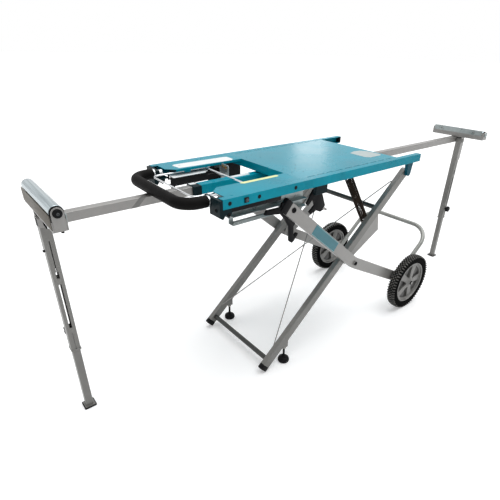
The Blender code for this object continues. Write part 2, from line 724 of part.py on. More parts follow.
def arm_tube(name, end, arm_y):
    """The square arm, with the stud that its leg turns on."""
    outer_end = end * (SUPPORT_SPAN / 2 + ARM_OVERHANG)
    middle = outer_end - end * ARM_LENGTH / 2
    piece = outline(name, square_section(ARM_SIZE, ARM_WALL), ARM_LENGTH, "YZ",
                    (middle, arm_y, ARM_Z), silver_paint(name + "_silver"))
    stud_length = (LEG_ARM_SPACING + LEG_SIZE / 2 - ARM_SIZE / 2 + ARM_WALL
                   + CHEEK_THICKNESS + 2 * RUNNING_GAP)
    start = arm_y - end * (ARM_SIZE / 2 - ARM_WALL / 2)
    stud = cylinder(name + "_stud", LEG_PIVOT_RADIUS, stud_length,
                    (end * SUPPORT_SPAN / 2, start - end * stud_length / 2, LEG_PIVOT_Z),
                    (0, 1, 0), segments=16, collection=CUTTERS)
    head = cylinder(name + "_stud_head", LEG_PIVOT_RADIUS * 2, ARM_WALL * 2,
                    (end * SUPPORT_SPAN / 2, start - end * (stud_length + ARM_WALL / 2),
                     LEG_PIVOT_Z), (0, 1, 0), segments=6, collection=CUTTERS)
    weld(piece, stud)
    weld(piece, head)
    return piece


def head_bracket(name, end, arm_y, head_y):
    """The channel that carries the roller, with an end plate at each end of its axle."""
    x = end * SUPPORT_SPAN / 2
    width, side_height, bottom, axle_z = HEADS[end]
    half = width / 2
    top = bottom + side_height
    section = [(x - half, bottom), (x + half, bottom), (x + half, top),
               (x + half - HEAD_WALL, top), (x + half - HEAD_WALL, bottom + HEAD_WALL),
               (x - half + HEAD_WALL, bottom + HEAD_WALL), (x - half + HEAD_WALL, top),
               (x - half, top)]
    piece = outline(name, [section], HEAD_LENGTH, "XZ", (0, head_y, 0),
                    zinc_plate(name + "_zinc"))
    end_radius = HEAD_END_WIDTH / 2
    plate = [(x - end_radius, bottom), (x + end_radius, bottom)]
    plate += arc((x, axle_z), end_radius, 0.0, pi, 8)
    for side in (-1, 1):
        y = head_y + side * (HEAD_LENGTH / 2 - HEAD_WALL / 2)
        plate_solid = outline(f"{name}_end_{side}", [plate, circle((x, axle_z),
                              ROLLER_AXLE_RADIUS + GAP, 16)], HEAD_WALL, "XZ", (0, y, 0),
                              collection=CUTTERS)
        weld(piece, plate_solid)
    seat_height = bottom - ARM_TOP - GAP
    seat = box(name + "_seat", (half, ARM_SIZE, seat_height + HEAD_WALL / 2),
               (x, arm_y, bottom + HEAD_WALL / 4 - seat_height / 2), collection=CUTTERS)
    weld(piece, seat)
    weld(piece, leg_cheek(name, end, x, arm_y))
    stud_room = cylinder(name + "_stud_room", LEG_PIVOT_RADIUS + PIN_CLEARANCE,
                         CHEEK_THICKNESS * 4, (x, cheek_middle(end, arm_y), LEG_PIVOT_Z),
                         (0, 1, 0), segments=16, collection=CUTTERS)
    return cut(piece, stud_room)


def cheek_middle(end, arm_y):
    """Where the cheek's middle is across the stand, just outside the leg."""
    return arm_y - end * (LEG_ARM_SPACING + LEG_SIZE / 2 + GAP + CHEEK_THICKNESS / 2)


def leg_cheek(name, end, x, arm_y):
    """The plate that hangs from the head beside the leg, and steadies the leg's hinge."""
    half = LEG_SIZE / 2
    bottom = LEG_PIVOT_Z - CHEEK_BELOW_PIVOT
    top = HEADS[end][2] + HEAD_WALL
    profile = [(x + half, top), (x - half, top),
               (x - half, bottom + half)]
    profile += arc((x, bottom + half), half, pi, 2 * pi, 8)[1:]
    return outline(name + "_cheek", [profile], CHEEK_THICKNESS, "XZ",
                   (0, cheek_middle(end, arm_y), 0), collection=CUTTERS)


def roller(name, end, head_y):
    """A plated roller with its axle ends and nuts."""
    half = HEAD_LENGTH / 2 - HEAD_WALL - ROLLER_END_GAP
    axle_half = HEAD_LENGTH / 2 + HEAD_WALL * 2
    profile = [(0.0, axle_half), (ROLLER_AXLE_RADIUS, axle_half), (ROLLER_AXLE_RADIUS, half),
               (ROLLER_RADIUS - SHEET, half), (ROLLER_RADIUS, half - SHEET),
               (ROLLER_RADIUS, SHEET - half), (ROLLER_RADIUS - SHEET, -half),
               (ROLLER_AXLE_RADIUS, -half), (ROLLER_AXLE_RADIUS, -axle_half), (0.0, -axle_half)]
    piece = turned(name, profile, 24, zinc_plate(name + "_zinc"))
    piece.rotation_euler = (pi / 2, 0, 0)
    piece.location = (end * SUPPORT_SPAN / 2, head_y, HEADS[end][3])
    return piece


def turned(name, profile, steps, material):
    """A closed solid of revolution about its own Z axis, from a profile run top to bottom."""
    mesh = bpy.data.meshes.new(name)
    shape = bmesh.new()
    ring = profile[0] == profile[-1]
    places = profile[:-1] if ring else profile
    corners = [shape.verts.new((radius, 0.0, height)) for radius, height in places]
    if ring:
        corners.append(corners[0])
    for first, second in zip(corners, corners[1:]):
        shape.edges.new((first, second))
    shape.to_mesh(mesh)
    shape.free()
    piece = link(mesh, name, material)
    spin = piece.modifiers.new("turned", "SCREW")
    spin.steps = steps
    spin.render_steps = steps
    spin.use_merge_vertices = True
    spin.merge_threshold = 0.0001
    return piece


def stop_plate(name, end, head_y):
    """The flat facing plate screwed to the head's inner side, with its two screw holes."""
    x = end * (SUPPORT_SPAN / 2 - HEADS[end][0] / 2 - GAP - HEAD_WALL / 2)
    middle_z = WORKING_HEIGHT + STOP_PLATE_RISE - STOP_PLATE_HEIGHT / 2
    loops = [rounded_rectangle(STOP_PLATE_LENGTH, STOP_PLATE_HEIGHT, SHEET, 2)]
    for side in (-1, 1):
        loops.append(circle((side * STOP_PLATE_HOLE_SPACING / 2, 0.0), STOP_PLATE_HOLE, 16))
    return outline(name, loops, HEAD_WALL, "YZ", (x, head_y, middle_z),
                   zinc_plate(name + "_zinc"))


def leg_tube(name, end, leg_y):
    """The outer leg tube, slotted on two faces for the clamp screws, with thin slits."""
    x = end * SUPPORT_SPAN / 2
    top = LEG_PIVOT_Z + LEG_SIZE / 2
    piece = outline(name, square_section(LEG_SIZE, LEG_WALL), top - LEG_TUBE_BOTTOM, "XY",
                    (x, leg_y, (top + LEG_TUBE_BOTTOM) / 2), silver_paint(name + "_silver"))
    for word, span, width in (("slot", LEG_SLOT_SPAN, LEG_SLOT_WIDTH),
                              ("slit", LEG_SLIT_SPAN, LEG_SLIT_WIDTH),
                              ("upper_slot", LEG_UPPER_SLOT_SPAN, LEG_SLOT_WIDTH),
                              ("upper_slit", LEG_UPPER_SLIT_SPAN, LEG_SLIT_WIDTH)):
        cut(piece, box(f"{name}_{word}", (width, LEG_SIZE + CUT_OVERRUN, span[1] - span[0]),
                       (x, leg_y, (span[0] + span[1]) / 2), collection=CUTTERS))
    cut(piece, cylinder(name + "_pivot_hole", LEG_PIVOT_RADIUS + PIN_CLEARANCE,
                        LEG_SIZE + CUT_OVERRUN, (x, leg_y, LEG_PIVOT_Z), (0, 1, 0),
                        segments=16, collection=CUTTERS))
    return piece


def inner_leg(name, end, leg_y):
    """The telescoping inner leg, with its plug and foot plate."""
    x = end * SUPPORT_SPAN / 2
    size = LEG_SIZE - 2 * LEG_WALL - 2 * RUNNING_GAP
    bottom = FOOT_PLATE_THICKNESS + FOOT_PLUG_HEIGHT
    tube = outline(name, square_section(size, INNER_LEG_WALL), INNER_LEG_TOP - bottom, "XY",
                   (x, leg_y, (INNER_LEG_TOP + bottom) / 2), silver_paint(name + "_silver"))
    foot = [rounded_rectangle(FOOT_PLATE_SIZE, FOOT_PLATE_SIZE, SHEET, 2)]
    plate = outline(name + "_foot", foot, FOOT_PLATE_THICKNESS, "XY",
                    (x, leg_y, FOOT_PLATE_THICKNESS / 2), collection=CUTTERS)
    plug = box(name + "_plug", (size - SHEET, size - SHEET, FOOT_PLUG_HEIGHT + SHEET),
               (x, leg_y, FOOT_PLATE_THICKNESS + FOOT_PLUG_HEIGHT / 2), collection=CUTTERS)
    weld(tube, plug)
    return weld(tube, plate)


def leg_knob(name, end, leg_y):
    """The lobed knob that clamps the telescoping leg, on the face away from the arm."""
    lobes = []
    for step in range(KNOB_LOBES * 4):
        angle = 2 * pi * step / (KNOB_LOBES * 4)
        radius = KNOB_RADIUS * (1 + cos(KNOB_LOBES * angle) * LOBE_DEPTH_SHARE)
        lobes.append((radius * cos(angle), radius * sin(angle)))
    face = leg_y - end * (LEG_SIZE / 2 + GAP)
    collar = KNOB_LENGTH / 3
    piece = outline(name, [lobes], KNOB_LENGTH - collar, "XZ",
                    (end * SUPPORT_SPAN / 2, face - end * (collar + KNOB_LENGTH) / 2,
                     LEG_KNOB_HEIGHT), black_plastic(name + "_black"))
    neck = cylinder(name + "_neck", KNOB_RADIUS / 2, collar + SHEET,
                    (end * SUPPORT_SPAN / 2, face - end * (collar + SHEET) / 2, LEG_KNOB_HEIGHT),
                    (0, 1, 0), segments=16, collection=CUTTERS)
    weld(piece, neck)
    return soften(piece, SHEET / 2)


def roller_support(word, end, arm_y, head_y):
    """One whole end support, built at the front (end -1) or turned round at the rear (+1)."""
    leg_y = arm_y - end * LEG_ARM_SPACING
    slide = pivot(word + "_arm_slide", (end * SUPPORT_SPAN / 2, arm_y, ARM_Z))
    carry(slide, arm_tube(word + "_arm_tube", end, arm_y),
          head_bracket(word + "_head_bracket", end, arm_y, head_y),
          stop_plate(word + "_stop_plate", end, head_y))
    spin = pivot(word + "_roller_axis", (end * SUPPORT_SPAN / 2, head_y, HEADS[end][3]))
    carry(spin, roller(word + "_roller", end, head_y))
    fold = pivot(word + "_leg_hinge", (end * SUPPORT_SPAN / 2, leg_y, LEG_PIVOT_Z))
    carry(fold, leg_tube(word + "_leg_tube", end, leg_y))
    telescope = pivot(word + "_leg_slide", (end * SUPPORT_SPAN / 2, leg_y, LEG_TUBE_BOTTOM))
    carry(telescope, inner_leg(word + "_inner_leg", end, leg_y))
    turn = pivot(word + "_leg_knob_axis", (end * SUPPORT_SPAN / 2, leg_y, LEG_KNOB_HEIGHT))
    carry(turn, leg_knob(word + "_leg_knob", end, leg_y))


# The foot frame: two straight legs hinged under the deck's rear end

def fold_bracket(name, side):
    """The bracket under a rail, with the pin that a foot leg turns on."""
    radius = FOOT_LEG_DEPTH * BRACKET_RADIUS_SHARE
    half = FOOT_LEG_DEPTH * BRACKET_TOP_SHARE
    width = FOOT_LEG_WIDTH * BRACKET_WIDTH_SHARE
    top = RAIL_BOTTOM - GAP
    x = FOLD_HINGE.x
    profile = arc((x, FOLD_HINGE.z), radius, pi, 2 * pi, 8)
    profile += [(x + half, top), (x - half, top)]
    middle_y = side * (FOOT_LEG_OUTER_Y + RUNNING_GAP + width / 2)
    piece = outline(name, [profile], width, "XZ", (0, middle_y, 0), teal_paint(name + "_teal"))
    pin_length = FOOT_LEG_WIDTH + width / 2
    pin = cylinder(name + "_pin", PIVOT_PIN_RADIUS, pin_length,
                   (x, middle_y - side * pin_length / 2, FOLD_HINGE.z), (0, 1, 0),
                   segments=16, collection=CUTTERS)
    return weld(piece, pin)


def foot_leg(name, side):
    """A straight leg from the fold hinge to the floor, with the lug for its levelling foot."""
    half = FOOT_LEG_DEPTH / 2
    length = (FOLD_HINGE - FOOT_END).length
    profile = [(-length, -half)]
    profile += arc((0.0, 0.0), half, -pi / 2, pi / 2, 8)
    profile += [(-length, half)]
    piece = outline(name, [profile], FOOT_LEG_WIDTH, "XZ", (0, 0, 0),
                    silver_paint(name + "_silver"))
    place = Matrix.Translation((FOLD_HINGE.x, side * FOOT_LEG_Y, FOLD_HINGE.z))
    piece.data.transform(place @ Matrix.Rotation(-FOOT_LEG_TILT, 4, "Y"))
    soften(piece, LEG_EDGE)
    cut(piece, cylinder(name + "_pin_hole", PIVOT_PIN_RADIUS + PIN_CLEARANCE,
                        2 * FOOT_LEG_WIDTH, (FOLD_HINGE.x, side * FOOT_LEG_Y, FOLD_HINGE.z),
                        (0, 1, 0), segments=16, collection=CUTTERS))
    slope = FOOT_LEG_TOWARDS_HINGE.z / FOOT_LEG_TOWARDS_HINGE.x
    lug_half = LEVELLING_BRACKET_SIZE / 2
    left = LEVELLING_X - lug_half
    right = LEVELLING_X + lug_half
    centre_line = FOLD_HINGE.z - slope * (FOLD_HINGE.x - LEVELLING_X)
    lug_profile = [(left, LUG_BOTTOM), (right, LUG_BOTTOM), (right, centre_line),
                   (left, centre_line - slope * lug_half)]
    weld(piece, outline(name + "_lug", [lug_profile], FOOT_LEG_WIDTH - 2 * SHEET, "XZ",
                        (0, side * FOOT_LEG_Y, 0), collection=CUTTERS))
    bore_length = 2 * LEVELLING_BRACKET_HEIGHT
    return cut(piece, cylinder(name + "_lug_bore", LEVELLING_STEM_RADIUS + GAP, bore_length,
                               (LEVELLING_X, side * FOOT_LEG_Y, LUG_BOTTOM), (0, 0, 1),
                               segments=16, collection=CUTTERS))


def along_foot_leg(distance_from_hinge, side_y, lift=0.0):
    """A point on the foot frame's plane, by its distance down from the hinge."""
    place = FOLD_HINGE - FOOT_LEG_TOWARDS_HINGE * distance_from_hinge + FOOT_LEG_NORMAL * lift
    return Vector((place.x, side_y, place.z))


def cross_tube(name, distance):
    """A round tube that joins the foot legs."""
    return cylinder(name, CROSS_TUBE_RADIUS, 2 * (FOOT_LEG_INNER_Y - GAP),
                    along_foot_leg(distance, 0.0), (0, 1, 0), silver_paint(name + "_silver"))


def foot_frame_point(place):
    """A point of the foot frame's plane, from its place along the leg and off it."""
    along, off = place
    point = FOLD_HINGE + FOOT_LEG_TOWARDS_HINGE * along + FOOT_LEG_NORMAL * off
    return point.x, point.z


def gusset(name, side):
    """The slotted plate welded inside a foot leg. It holds the scissor bolt and, near,
    the spring's foot."""
    y_middle = FOOT_LEG_INNER_Y - GAP - GUSSET_THICKNESS / 2
    below = atan2(-FOOT_LEG_NORMAL.z, -FOOT_LEG_NORMAL.x)
    profile = [foot_frame_point(place) for place in GUSSET_UPPER_EDGE]
    profile += arc((SCISSOR_PIVOT.x, SCISSOR_PIVOT.z), GUSSET_BOSS_RADIUS, below + pi / 8,
                   below - pi * 3 / 4, 8)
    slot = [foot_frame_point(place) for place in GUSSET_SLOT]
    piece = outline(name, [profile, slot], GUSSET_THICKNESS, "XZ", (0, side * y_middle, 0),
                    zinc_plate(name + "_zinc"))
    bolt_length = WHEEL_LEG_OUTER_Y + RUNNING_GAP + PIVOT_PIN_RADIUS / 2 - y_middle
    weld(piece, cylinder(name + "_bolt", PIVOT_PIN_RADIUS, bolt_length,
                         (SCISSOR_PIVOT.x, side * (y_middle + bolt_length / 2),
                          SCISSOR_PIVOT.z), (0, 1, 0), segments=16, collection=CUTTERS))
    weld(piece, cylinder(name + "_bolt_head", PIVOT_PIN_RADIUS * 2, PIVOT_PIN_RADIUS,
                         (SCISSOR_PIVOT.x, side * (WHEEL_LEG_OUTER_Y + RUNNING_GAP
                                                   + PIVOT_PIN_RADIUS / 2), SCISSOR_PIVOT.z),
                         (0, 1, 0), segments=6, collection=CUTTERS))
    if side < 0:
        reach = y_middle + SPRING_BOTTOM.y
        weld(piece, cylinder("spring_pin", PIVOT_PIN_RADIUS, reach,
                             SPRING_BOTTOM + spring_axis() * SPRING_SEAT_THICKNESS / 2
                             - Vector((0, reach / 2, 0)), (0, 1, 0), segments=16,
                             collection=CUTTERS))
        weld(piece, spring_seat("spring_lower_seat", SPRING_BOTTOM, 1))
    return piece


def brace_wires():
    """Two crossed bracing wires in the foot frame, tied by a clip where they cross."""
    length = (FOLD_HINGE - FOOT_END).length
    half = FOOT_LEG_INNER_Y - GAP - WIRE_RADIUS
    material = zinc_plate("wire_zinc")
    wires = []
    for number, side in enumerate((-1, 1)):
        lift = WIRE_OFFSET + number * (2 * WIRE_RADIUS + GAP)
        low = along_foot_leg(length - WIRE_LOW_FROM_END, side * half, lift)
        high = along_foot_leg(WIRE_HIGH_FROM_HINGE, -side * half, lift)
        name = "brace_wires" if number == 0 else "brace_wire_second"
        wires.append(rod(name, [low, high], WIRE_RADIUS, material, 2,
                         STAND if number == 0 else CUTTERS))
    middle = (length - WIRE_LOW_FROM_END + WIRE_HIGH_FROM_HINGE) / 2
    clip = cylinder("brace_clip", WIRE_CLIP_RADIUS, 4 * WIRE_RADIUS,
                    along_foot_leg(middle, 0.0, WIRE_OFFSET + 2 * WIRE_RADIUS),
                    FOOT_LEG_NORMAL, segments=16, collection=CUTTERS)
    weld(wires[0], clip)
    return weld(wires[0], wires[1])


def levelling_foot(name, side):
    """A rubber-soled disc on a screwed stem."""
    radius = LEVELLING_DISC_RADIUS
    stem = LEVELLING_STEM_RADIUS
    height = LEVELLING_DISC_HEIGHT
    top = LUG_BOTTOM + LEVELLING_BRACKET_HEIGHT / 3
    profile = [(0.0, top), (stem, top), (stem, height * 2)]
    profile += [(radius * out, height * up) for out, up in LEVELLING_DISC_SHARES]
    profile += [(0.0, 0.0)]
    piece = turned(name, profile, 20, black_plastic(name + "_rubber"))
    piece.location = (LEVELLING_X, side * FOOT_LEG_Y, 0)
    return smooth(piece, radians(50))


# The wheel frame: two bent legs on the scissor pivot

def wheel_leg(name, side):
    """A flat tube, bent at the scissor pivot, with the stub axle welded to its lower end."""
    upper = (SLIDER_PIN - SCISSOR_PIVOT).normalized()
    lower = (WHEEL_AXLE - SCISSOR_PIVOT).normalized()
    half = WHEEL_LEG_DEPTH / 2
    top = SLIDER_PIN + upper * WHEEL_LEG_OVERRUN
    bottom = WHEEL_AXLE
    edges = []
    for sign in (1, -1):
        upper_side = Vector((upper.z, 0, -upper.x)) * half * sign
        lower_side = Vector((-lower.z, 0, lower.x)) * half * sign
        corner = corner_of(SCISSOR_PIVOT + upper_side, upper, SCISSOR_PIVOT + lower_side, lower)
        radius = WHEEL_LEG_BEND - sign * half
        edges.append(bent_path([top + upper_side, corner, bottom + lower_side], radius, 6))
    lower_angle = atan2(lower.z, lower.x)
    profile = [(point.x, point.z) for point in edges[0]]
    profile += arc((bottom.x, bottom.z), half, lower_angle + pi / 2,
                   lower_angle - pi / 2, 8)[1:-1]
    profile += [(point.x, point.z) for point in reversed(edges[1])]
    piece = outline(name, [profile], WHEEL_LEG_WIDTH, "XZ", (0, side * WHEEL_LEG_Y, 0),
                    silver_paint(name + "_silver"))
    soften(piece, LEG_EDGE)
    if side < 0:
        cut(piece, fork_slot(name + "_fork", top, upper))
        weld(piece, cylinder(name + "_lever_pin", LOCK_PIN_RADIUS, WHEEL_LEG_WIDTH,
                             LOCK_PIVOT, (0, 1, 0), segments=12, collection=CUTTERS))
    cut(piece, cylinder(name + "_bolt_hole", PIVOT_PIN_RADIUS + PIN_CLEARANCE,
                        2 * WHEEL_LEG_WIDTH, (SCISSOR_PIVOT.x, side * WHEEL_LEG_Y,
                                              SCISSOR_PIVOT.z), (0, 1, 0), segments=16,
                        collection=CUTTERS))
    start = side * WHEEL_LEG_Y
    end = side * (WHEEL_OUTER_FACE_Y + AXLE_RADIUS)
    weld(piece, cylinder(name + "_axle", AXLE_RADIUS, abs(end - start),
                         (bottom.x, (start + end) / 2, bottom.z), (0, 1, 0), segments=20,
                         collection=CUTTERS))
    hub_face = side * (WHEEL_MIDDLE_Y - HUB_WIDTH / 2 - RUNNING_GAP)
    return weld(piece, cylinder(name + "_spacer", AXLE_RADIUS * 2, abs(hub_face - start),
                                (bottom.x, (start + hub_face) / 2, bottom.z), (0, 1, 0),
                                segments=20, collection=CUTTERS))


def fork_slot(name, end, way):
    """The slot in the near leg's upper end that the lock lever turns in."""
    depth = WHEEL_LEG_OVERRUN - WHEEL_LEG_FORK_START
    slot = box(name, (2 * depth, LOCK_LEVER_WIDTH + 2 * RUNNING_GAP, 2 * WHEEL_LEG_DEPTH),
               (end.x, -WHEEL_LEG_Y, end.z), collection=CUTTERS)
    slot.rotation_euler = (0, -atan2(way.z, way.x), 0)
    return slot


def corner_of(first, first_way, second, second_way):
    """Where two lines in the XZ plane meet."""
    across = second - first
    turn = first_way.x * second_way.z - first_way.z * second_way.x
    share = (across.x * second_way.z - across.z * second_way.x) / turn
    return first + first_way * share


def slider_cross_tube():
    """The round tube between the two rollers, which runs through the tracks' slots."""
    roller_inner = WHEEL_LEG_INNER_Y - GAP - SLIDER_ROLLER_LENGTH
    return cylinder("slider_cross_tube", SLIDER_TUBE_RADIUS, 2 * (roller_inner - GAP),
                    SLIDER_PIN, (0, 1, 0), silver_paint("slider_tube_silver"))


def slider_roller(name, side):
    """The nylon roller on a pin inside a wheel leg, which runs in the track."""
    middle = side * (WHEEL_LEG_INNER_Y - GAP - SLIDER_ROLLER_LENGTH / 2)
    return cylinder(name, SLIDER_ROLLER_RADIUS, SLIDER_ROLLER_LENGTH,
                    (SLIDER_PIN.x, middle, SLIDER_PIN.z), (0, 1, 0),
                    black_plastic(name + "_nylon"), 20)


def stand_loop():
    """The bent tube across the wheel end, which the folded stand stands up on."""
    reach = Vector((cos(LOOP_ANGLE), 0, sin(LOOP_ANGLE))) * LOOP_REACH
    corners = []
    for side in (-1, 1):
        start = WHEEL_AXLE + Vector((0, side * LOOP_SIDE_Y, 0))
        pair = [start, start + reach]
        corners += pair if side < 0 else reversed(pair)
    return rod("stand_loop", bent_path(corners, LOOP_CORNER, 8), LOOP_TUBE_RADIUS,
               silver_paint("loop_silver"), 3)


def rim(name, side):
    """A moulded rim: a hub, a web with windows between broad spokes, and the tyre's bed."""
    half = RIM_WIDTH / 2
    web = RIM_WEB / 2
    hub = HUB_WIDTH / 2
    inner = RIM_RADIUS - RIM_FLANGE
    bore = AXLE_RADIUS + RUNNING_GAP
    face = [(bore, hub), (HUB_RADIUS * HUB_FACE_SHARE, hub), (HUB_RADIUS, hub - RIM_FLANGE / 2),
            (HUB_RADIUS * HUB_FOOT_SHARE, web), (inner, web), (inner, half * RIM_LIP_SHARE),
            (inner + RIM_FLANGE / 3, half), (RIM_RADIUS, half)]
    profile = face + [(radius, -height) for radius, height in reversed(face)] + face[:1]
    piece = turned(name, profile, WHEEL_STEPS, finish(name + "_grey", (0.25, 0.25, 0.25), 0.45))
    spoke_half = HUB_RADIUS * SPOKE_SHARE
    window_inner = HUB_RADIUS * WINDOW_SHARE
    window_outer = inner - RIM_FLANGE
    half_angle = pi / RIM_WINDOWS
    lean = spoke_half / window_inner
    squeeze = spoke_half / window_outer
    for number in range(RIM_WINDOWS):
        middle = pi * (2 * number + 1) / RIM_WINDOWS
        shape = arc((0, 0), window_outer, middle - half_angle + squeeze,
                    middle + half_angle - squeeze, 4)
        shape += arc((0, 0), window_inner, middle + half_angle - lean,
                     middle - half_angle + lean, 2)
        window = outline(f"{name}_window_{number}", [shape], 2 * RIM_WEB, "XY", (0, 0, 0),
                         collection=CUTTERS)
        place_wheel(window, side)
        cut(piece, window)
    place_wheel(piece, side)
    return smooth(piece)


def place_wheel(piece, side):
    piece.rotation_euler = (-side * pi / 2, 0, 0)
    piece.location = (WHEEL_AXLE.x, side * WHEEL_MIDDLE_Y, WHEEL_AXLE.z)


def tyre(name, side):
    """A solid tyre with a rounded crown on a bed that fits the rim."""
    half = TYRE_WIDTH / 2
    bed = RIM_RADIUS + GAP
    wall = WHEEL_RADIUS - bed
    face = [(bed + wall * rise, half * across) for rise, across in TYRE_SHARES]
    profile = face + [(radius, -height) for radius, height in reversed(face)] + face[:1]
    piece = turned(name, profile, WHEEL_STEPS, black_plastic(name + "_rubber"))
    place_wheel(piece, side)
    return smooth(piece)


# Tracks, spring, bail and levers

def slide_track(name, side):
    """A channel under a side plate, open outwards, that a slider roller runs in."""
    top = PLATE_UNDERSIDE - GAP
    upper = SLIDER_PIN.z + TRACK_SLOT_HALF
    lower = SLIDER_PIN.z - TRACK_SLOT_HALF
    back = side * (TRACK_WEB_Y - SHEET)
    face = side * TRACK_WEB_Y
    tip = side * (TRACK_WEB_Y + TRACK_FLANGE)
    section = [(back, lower - SHEET), (tip, lower - SHEET), (tip, lower), (face, lower),
               (face, upper), (tip, upper), (tip, upper + SHEET), (face, upper + SHEET),
               (face, top), (back, top)]
    piece = outline(name, [section], TRACK_SPAN[1] - TRACK_SPAN[0], "YZ",
                    ((TRACK_SPAN[0] + TRACK_SPAN[1]) / 2, 0, 0), zinc_plate(name + "_zinc"))
    slot_half = SLIDER_TUBE_RADIUS + TRACK_SLOT_HALF - SLIDER_ROLLER_RADIUS
    slot = box(name + "_slot", (TRACK_WEB_SLOT[1] - TRACK_WEB_SLOT[0], 4 * SHEET,
                                2 * slot_half),
               ((TRACK_WEB_SLOT[0] + TRACK_WEB_SLOT[1]) / 2, face, SLIDER_PIN.z),
               collection=CUTTERS)
    return cut(piece, slot)


def spring_axis():
    return (SPRING_BOTTOM - SPRING_TOP).normalized()


def spring_seat(name, place, way):
    """A round seat that an end of the assist spring rests on."""
    middle = place + spring_axis() * way * SPRING_SEAT_THICKNESS / 2
    return cylinder(name, SPRING_COIL_RADIUS + SPRING_WIRE_RADIUS, SPRING_SEAT_THICKNESS,
                    middle, spring_axis(), None, 20, CUTTERS)


def assist_spring():
    """The coil spring that helps to lift the deck: one unbroken wire with straight ends."""
    axis = SPRING_BOTTOM - SPRING_TOP
    length = axis.length - 2 * GAP
    axis.normalize()
    start = SPRING_TOP + axis * GAP
    across = Vector((0, 1, 0))
    third = axis.cross(across)
    tail = 2 * SPRING_WIRE_RADIUS
    count = SPRING_CURLS * SPRING_POINTS_PER_CURL
    pitch = (length - 2 * tail) / SPRING_CURLS
    points = []
    for step in range(count + 1):
        angle = 2 * pi * step / SPRING_POINTS_PER_CURL
        along = tail + pitch * step / SPRING_POINTS_PER_CURL
        points.append(start + axis * along + across * SPRING_COIL_RADIUS * cos(angle)
                      + third * SPRING_COIL_RADIUS * sin(angle))
    points.insert(0, points[0] - axis * tail)
    points.append(points[-1] + axis * tail)
    least = min((points[first] - points[second]).length
                for first in range(len(points))
                for second in range(first + SPRING_POINTS_PER_CURL // 2, len(points)))
    print("assist spring, least gap to itself in mm:", (least - 2 * SPRING_WIRE_RADIUS) * 1000)
    return rod("assist_spring", points, SPRING_WIRE_RADIUS, black_plastic("spring_black"), 1)


def spring_hanger():
    """The block welded under the deck plate that holds the spring's upper end."""
    seat = spring_seat("spring_top_seat", SPRING_TOP, -1)
    height = WORKING_HEIGHT - SHEET / 2 - SPRING_TOP.z
    post = box("spring_top_post", (SPRING_COIL_RADIUS * 2, SPRING_COIL_RADIUS, height),
               (SPRING_TOP.x - SPRING_COIL_RADIUS / 2, SPRING_TOP.y, SPRING_TOP.z + height / 2),
               collection=CUTTERS)
    return weld(seat, post)


def release_bail():
    """The wire loop pulled from the handle, and the rod that it draws."""
    height = WORKING_HEIGHT - BAIL_DROP
    half = BAIL_HALF_WIDTH
    rear = BAIL_REAR_X + BAIL_CORNER
    corners = [(rear, -half, height), (BAIL_FRONT_X, -half, height),
               (BAIL_FRONT_X, half, height), (rear, half, height)]
    loop = rod("release_bail", bent_path(corners, BAIL_CORNER, 5), BAIL_WIRE_RADIUS,
               zinc_plate("bail_chrome"), 2)
    cross = rod("release_cross", [(BAIL_REAR_X, -half, height), (BAIL_REAR_X, half, height)],
                BAIL_WIRE_RADIUS, None, 2, CUTTERS)
    weld(loop, cross)
    rod_z = WORKING_HEIGHT - RELEASE_ROD_DROP
    drop = height - rod_z
    start = DECK_FRONT + BAIL_CORNER
    tab = box("release_tab", (BAIL_WIRE_RADIUS * 2, BAIL_WIRE_RADIUS, drop - BAIL_WIRE_RADIUS / 2),
              (start + BAIL_WIRE_RADIUS, half, height - drop / 2), collection=CUTTERS)
    weld(loop, tab)
    rod_end = RELEASE_HOUSING_SPAN[1] - CHANNEL_WIDTH
    push_rod = rod("release_push_rod", [(start, half, rod_z), (rod_end, half, rod_z)],
                   BAIL_WIRE_RADIUS, None, 2, CUTTERS)
    return weld(loop, push_rod)


def release_housing():
    """The plunger housing of the release and the plate that hangs it from the far side plate."""
    start, end = RELEASE_HOUSING_SPAN
    rod_z = WORKING_HEIGHT - RELEASE_ROD_DROP
    housing = cylinder("release_housing", RELEASE_HOUSING_RADIUS, end - start,
                       ((start + end) / 2, BAIL_HALF_WIDTH, rod_z), (1, 0, 0),
                       black_plastic("housing_black"), 20)
    bore = cylinder("release_housing_bore", BAIL_WIRE_RADIUS + RUNNING_GAP, end - start,
                    (start + (end - start) / 4, BAIL_HALF_WIDTH, rod_z), (1, 0, 0),
                    segments=12, collection=CUTTERS)
    top = PLATE_UNDERSIDE - GAP
    bottom = rod_z - 2 * RELEASE_HOUSING_RADIUS
    inner = SIDE_PLATE_INNER + 2 * SHEET
    outer = inner + 4 * RELEASE_HOUSING_RADIUS
    plate = box("release_plate", (SHEET * 2, outer - inner, top - bottom),
                (end, (inner + outer) / 2, (top + bottom) / 2), collection=CUTTERS)
    cut(housing, bore)
    return smooth(weld(housing, plate))


def catch_block():
    """The block under the near rail that the catch lever turns on."""
    top = PLATE_UNDERSIDE - GAP
    bottom = CATCH_PIVOT.z - FOOT_LEG_DEPTH / 4
    width = RAIL_INNER_Y - GAP + CATCH_PIVOT.y - CATCH_LEVER_WIDTH / 2 - GAP
    size = FOOT_LEG_DEPTH * CATCH_BLOCK_SHARE
    piece = box("catch_block", (size, width, top - bottom),
                (CATCH_PIVOT.x, -(RAIL_INNER_Y - GAP) + width / 2, (top + bottom) / 2),
                dark_teal_plastic("catch_moulding"))
    return soften(piece, SHEET)


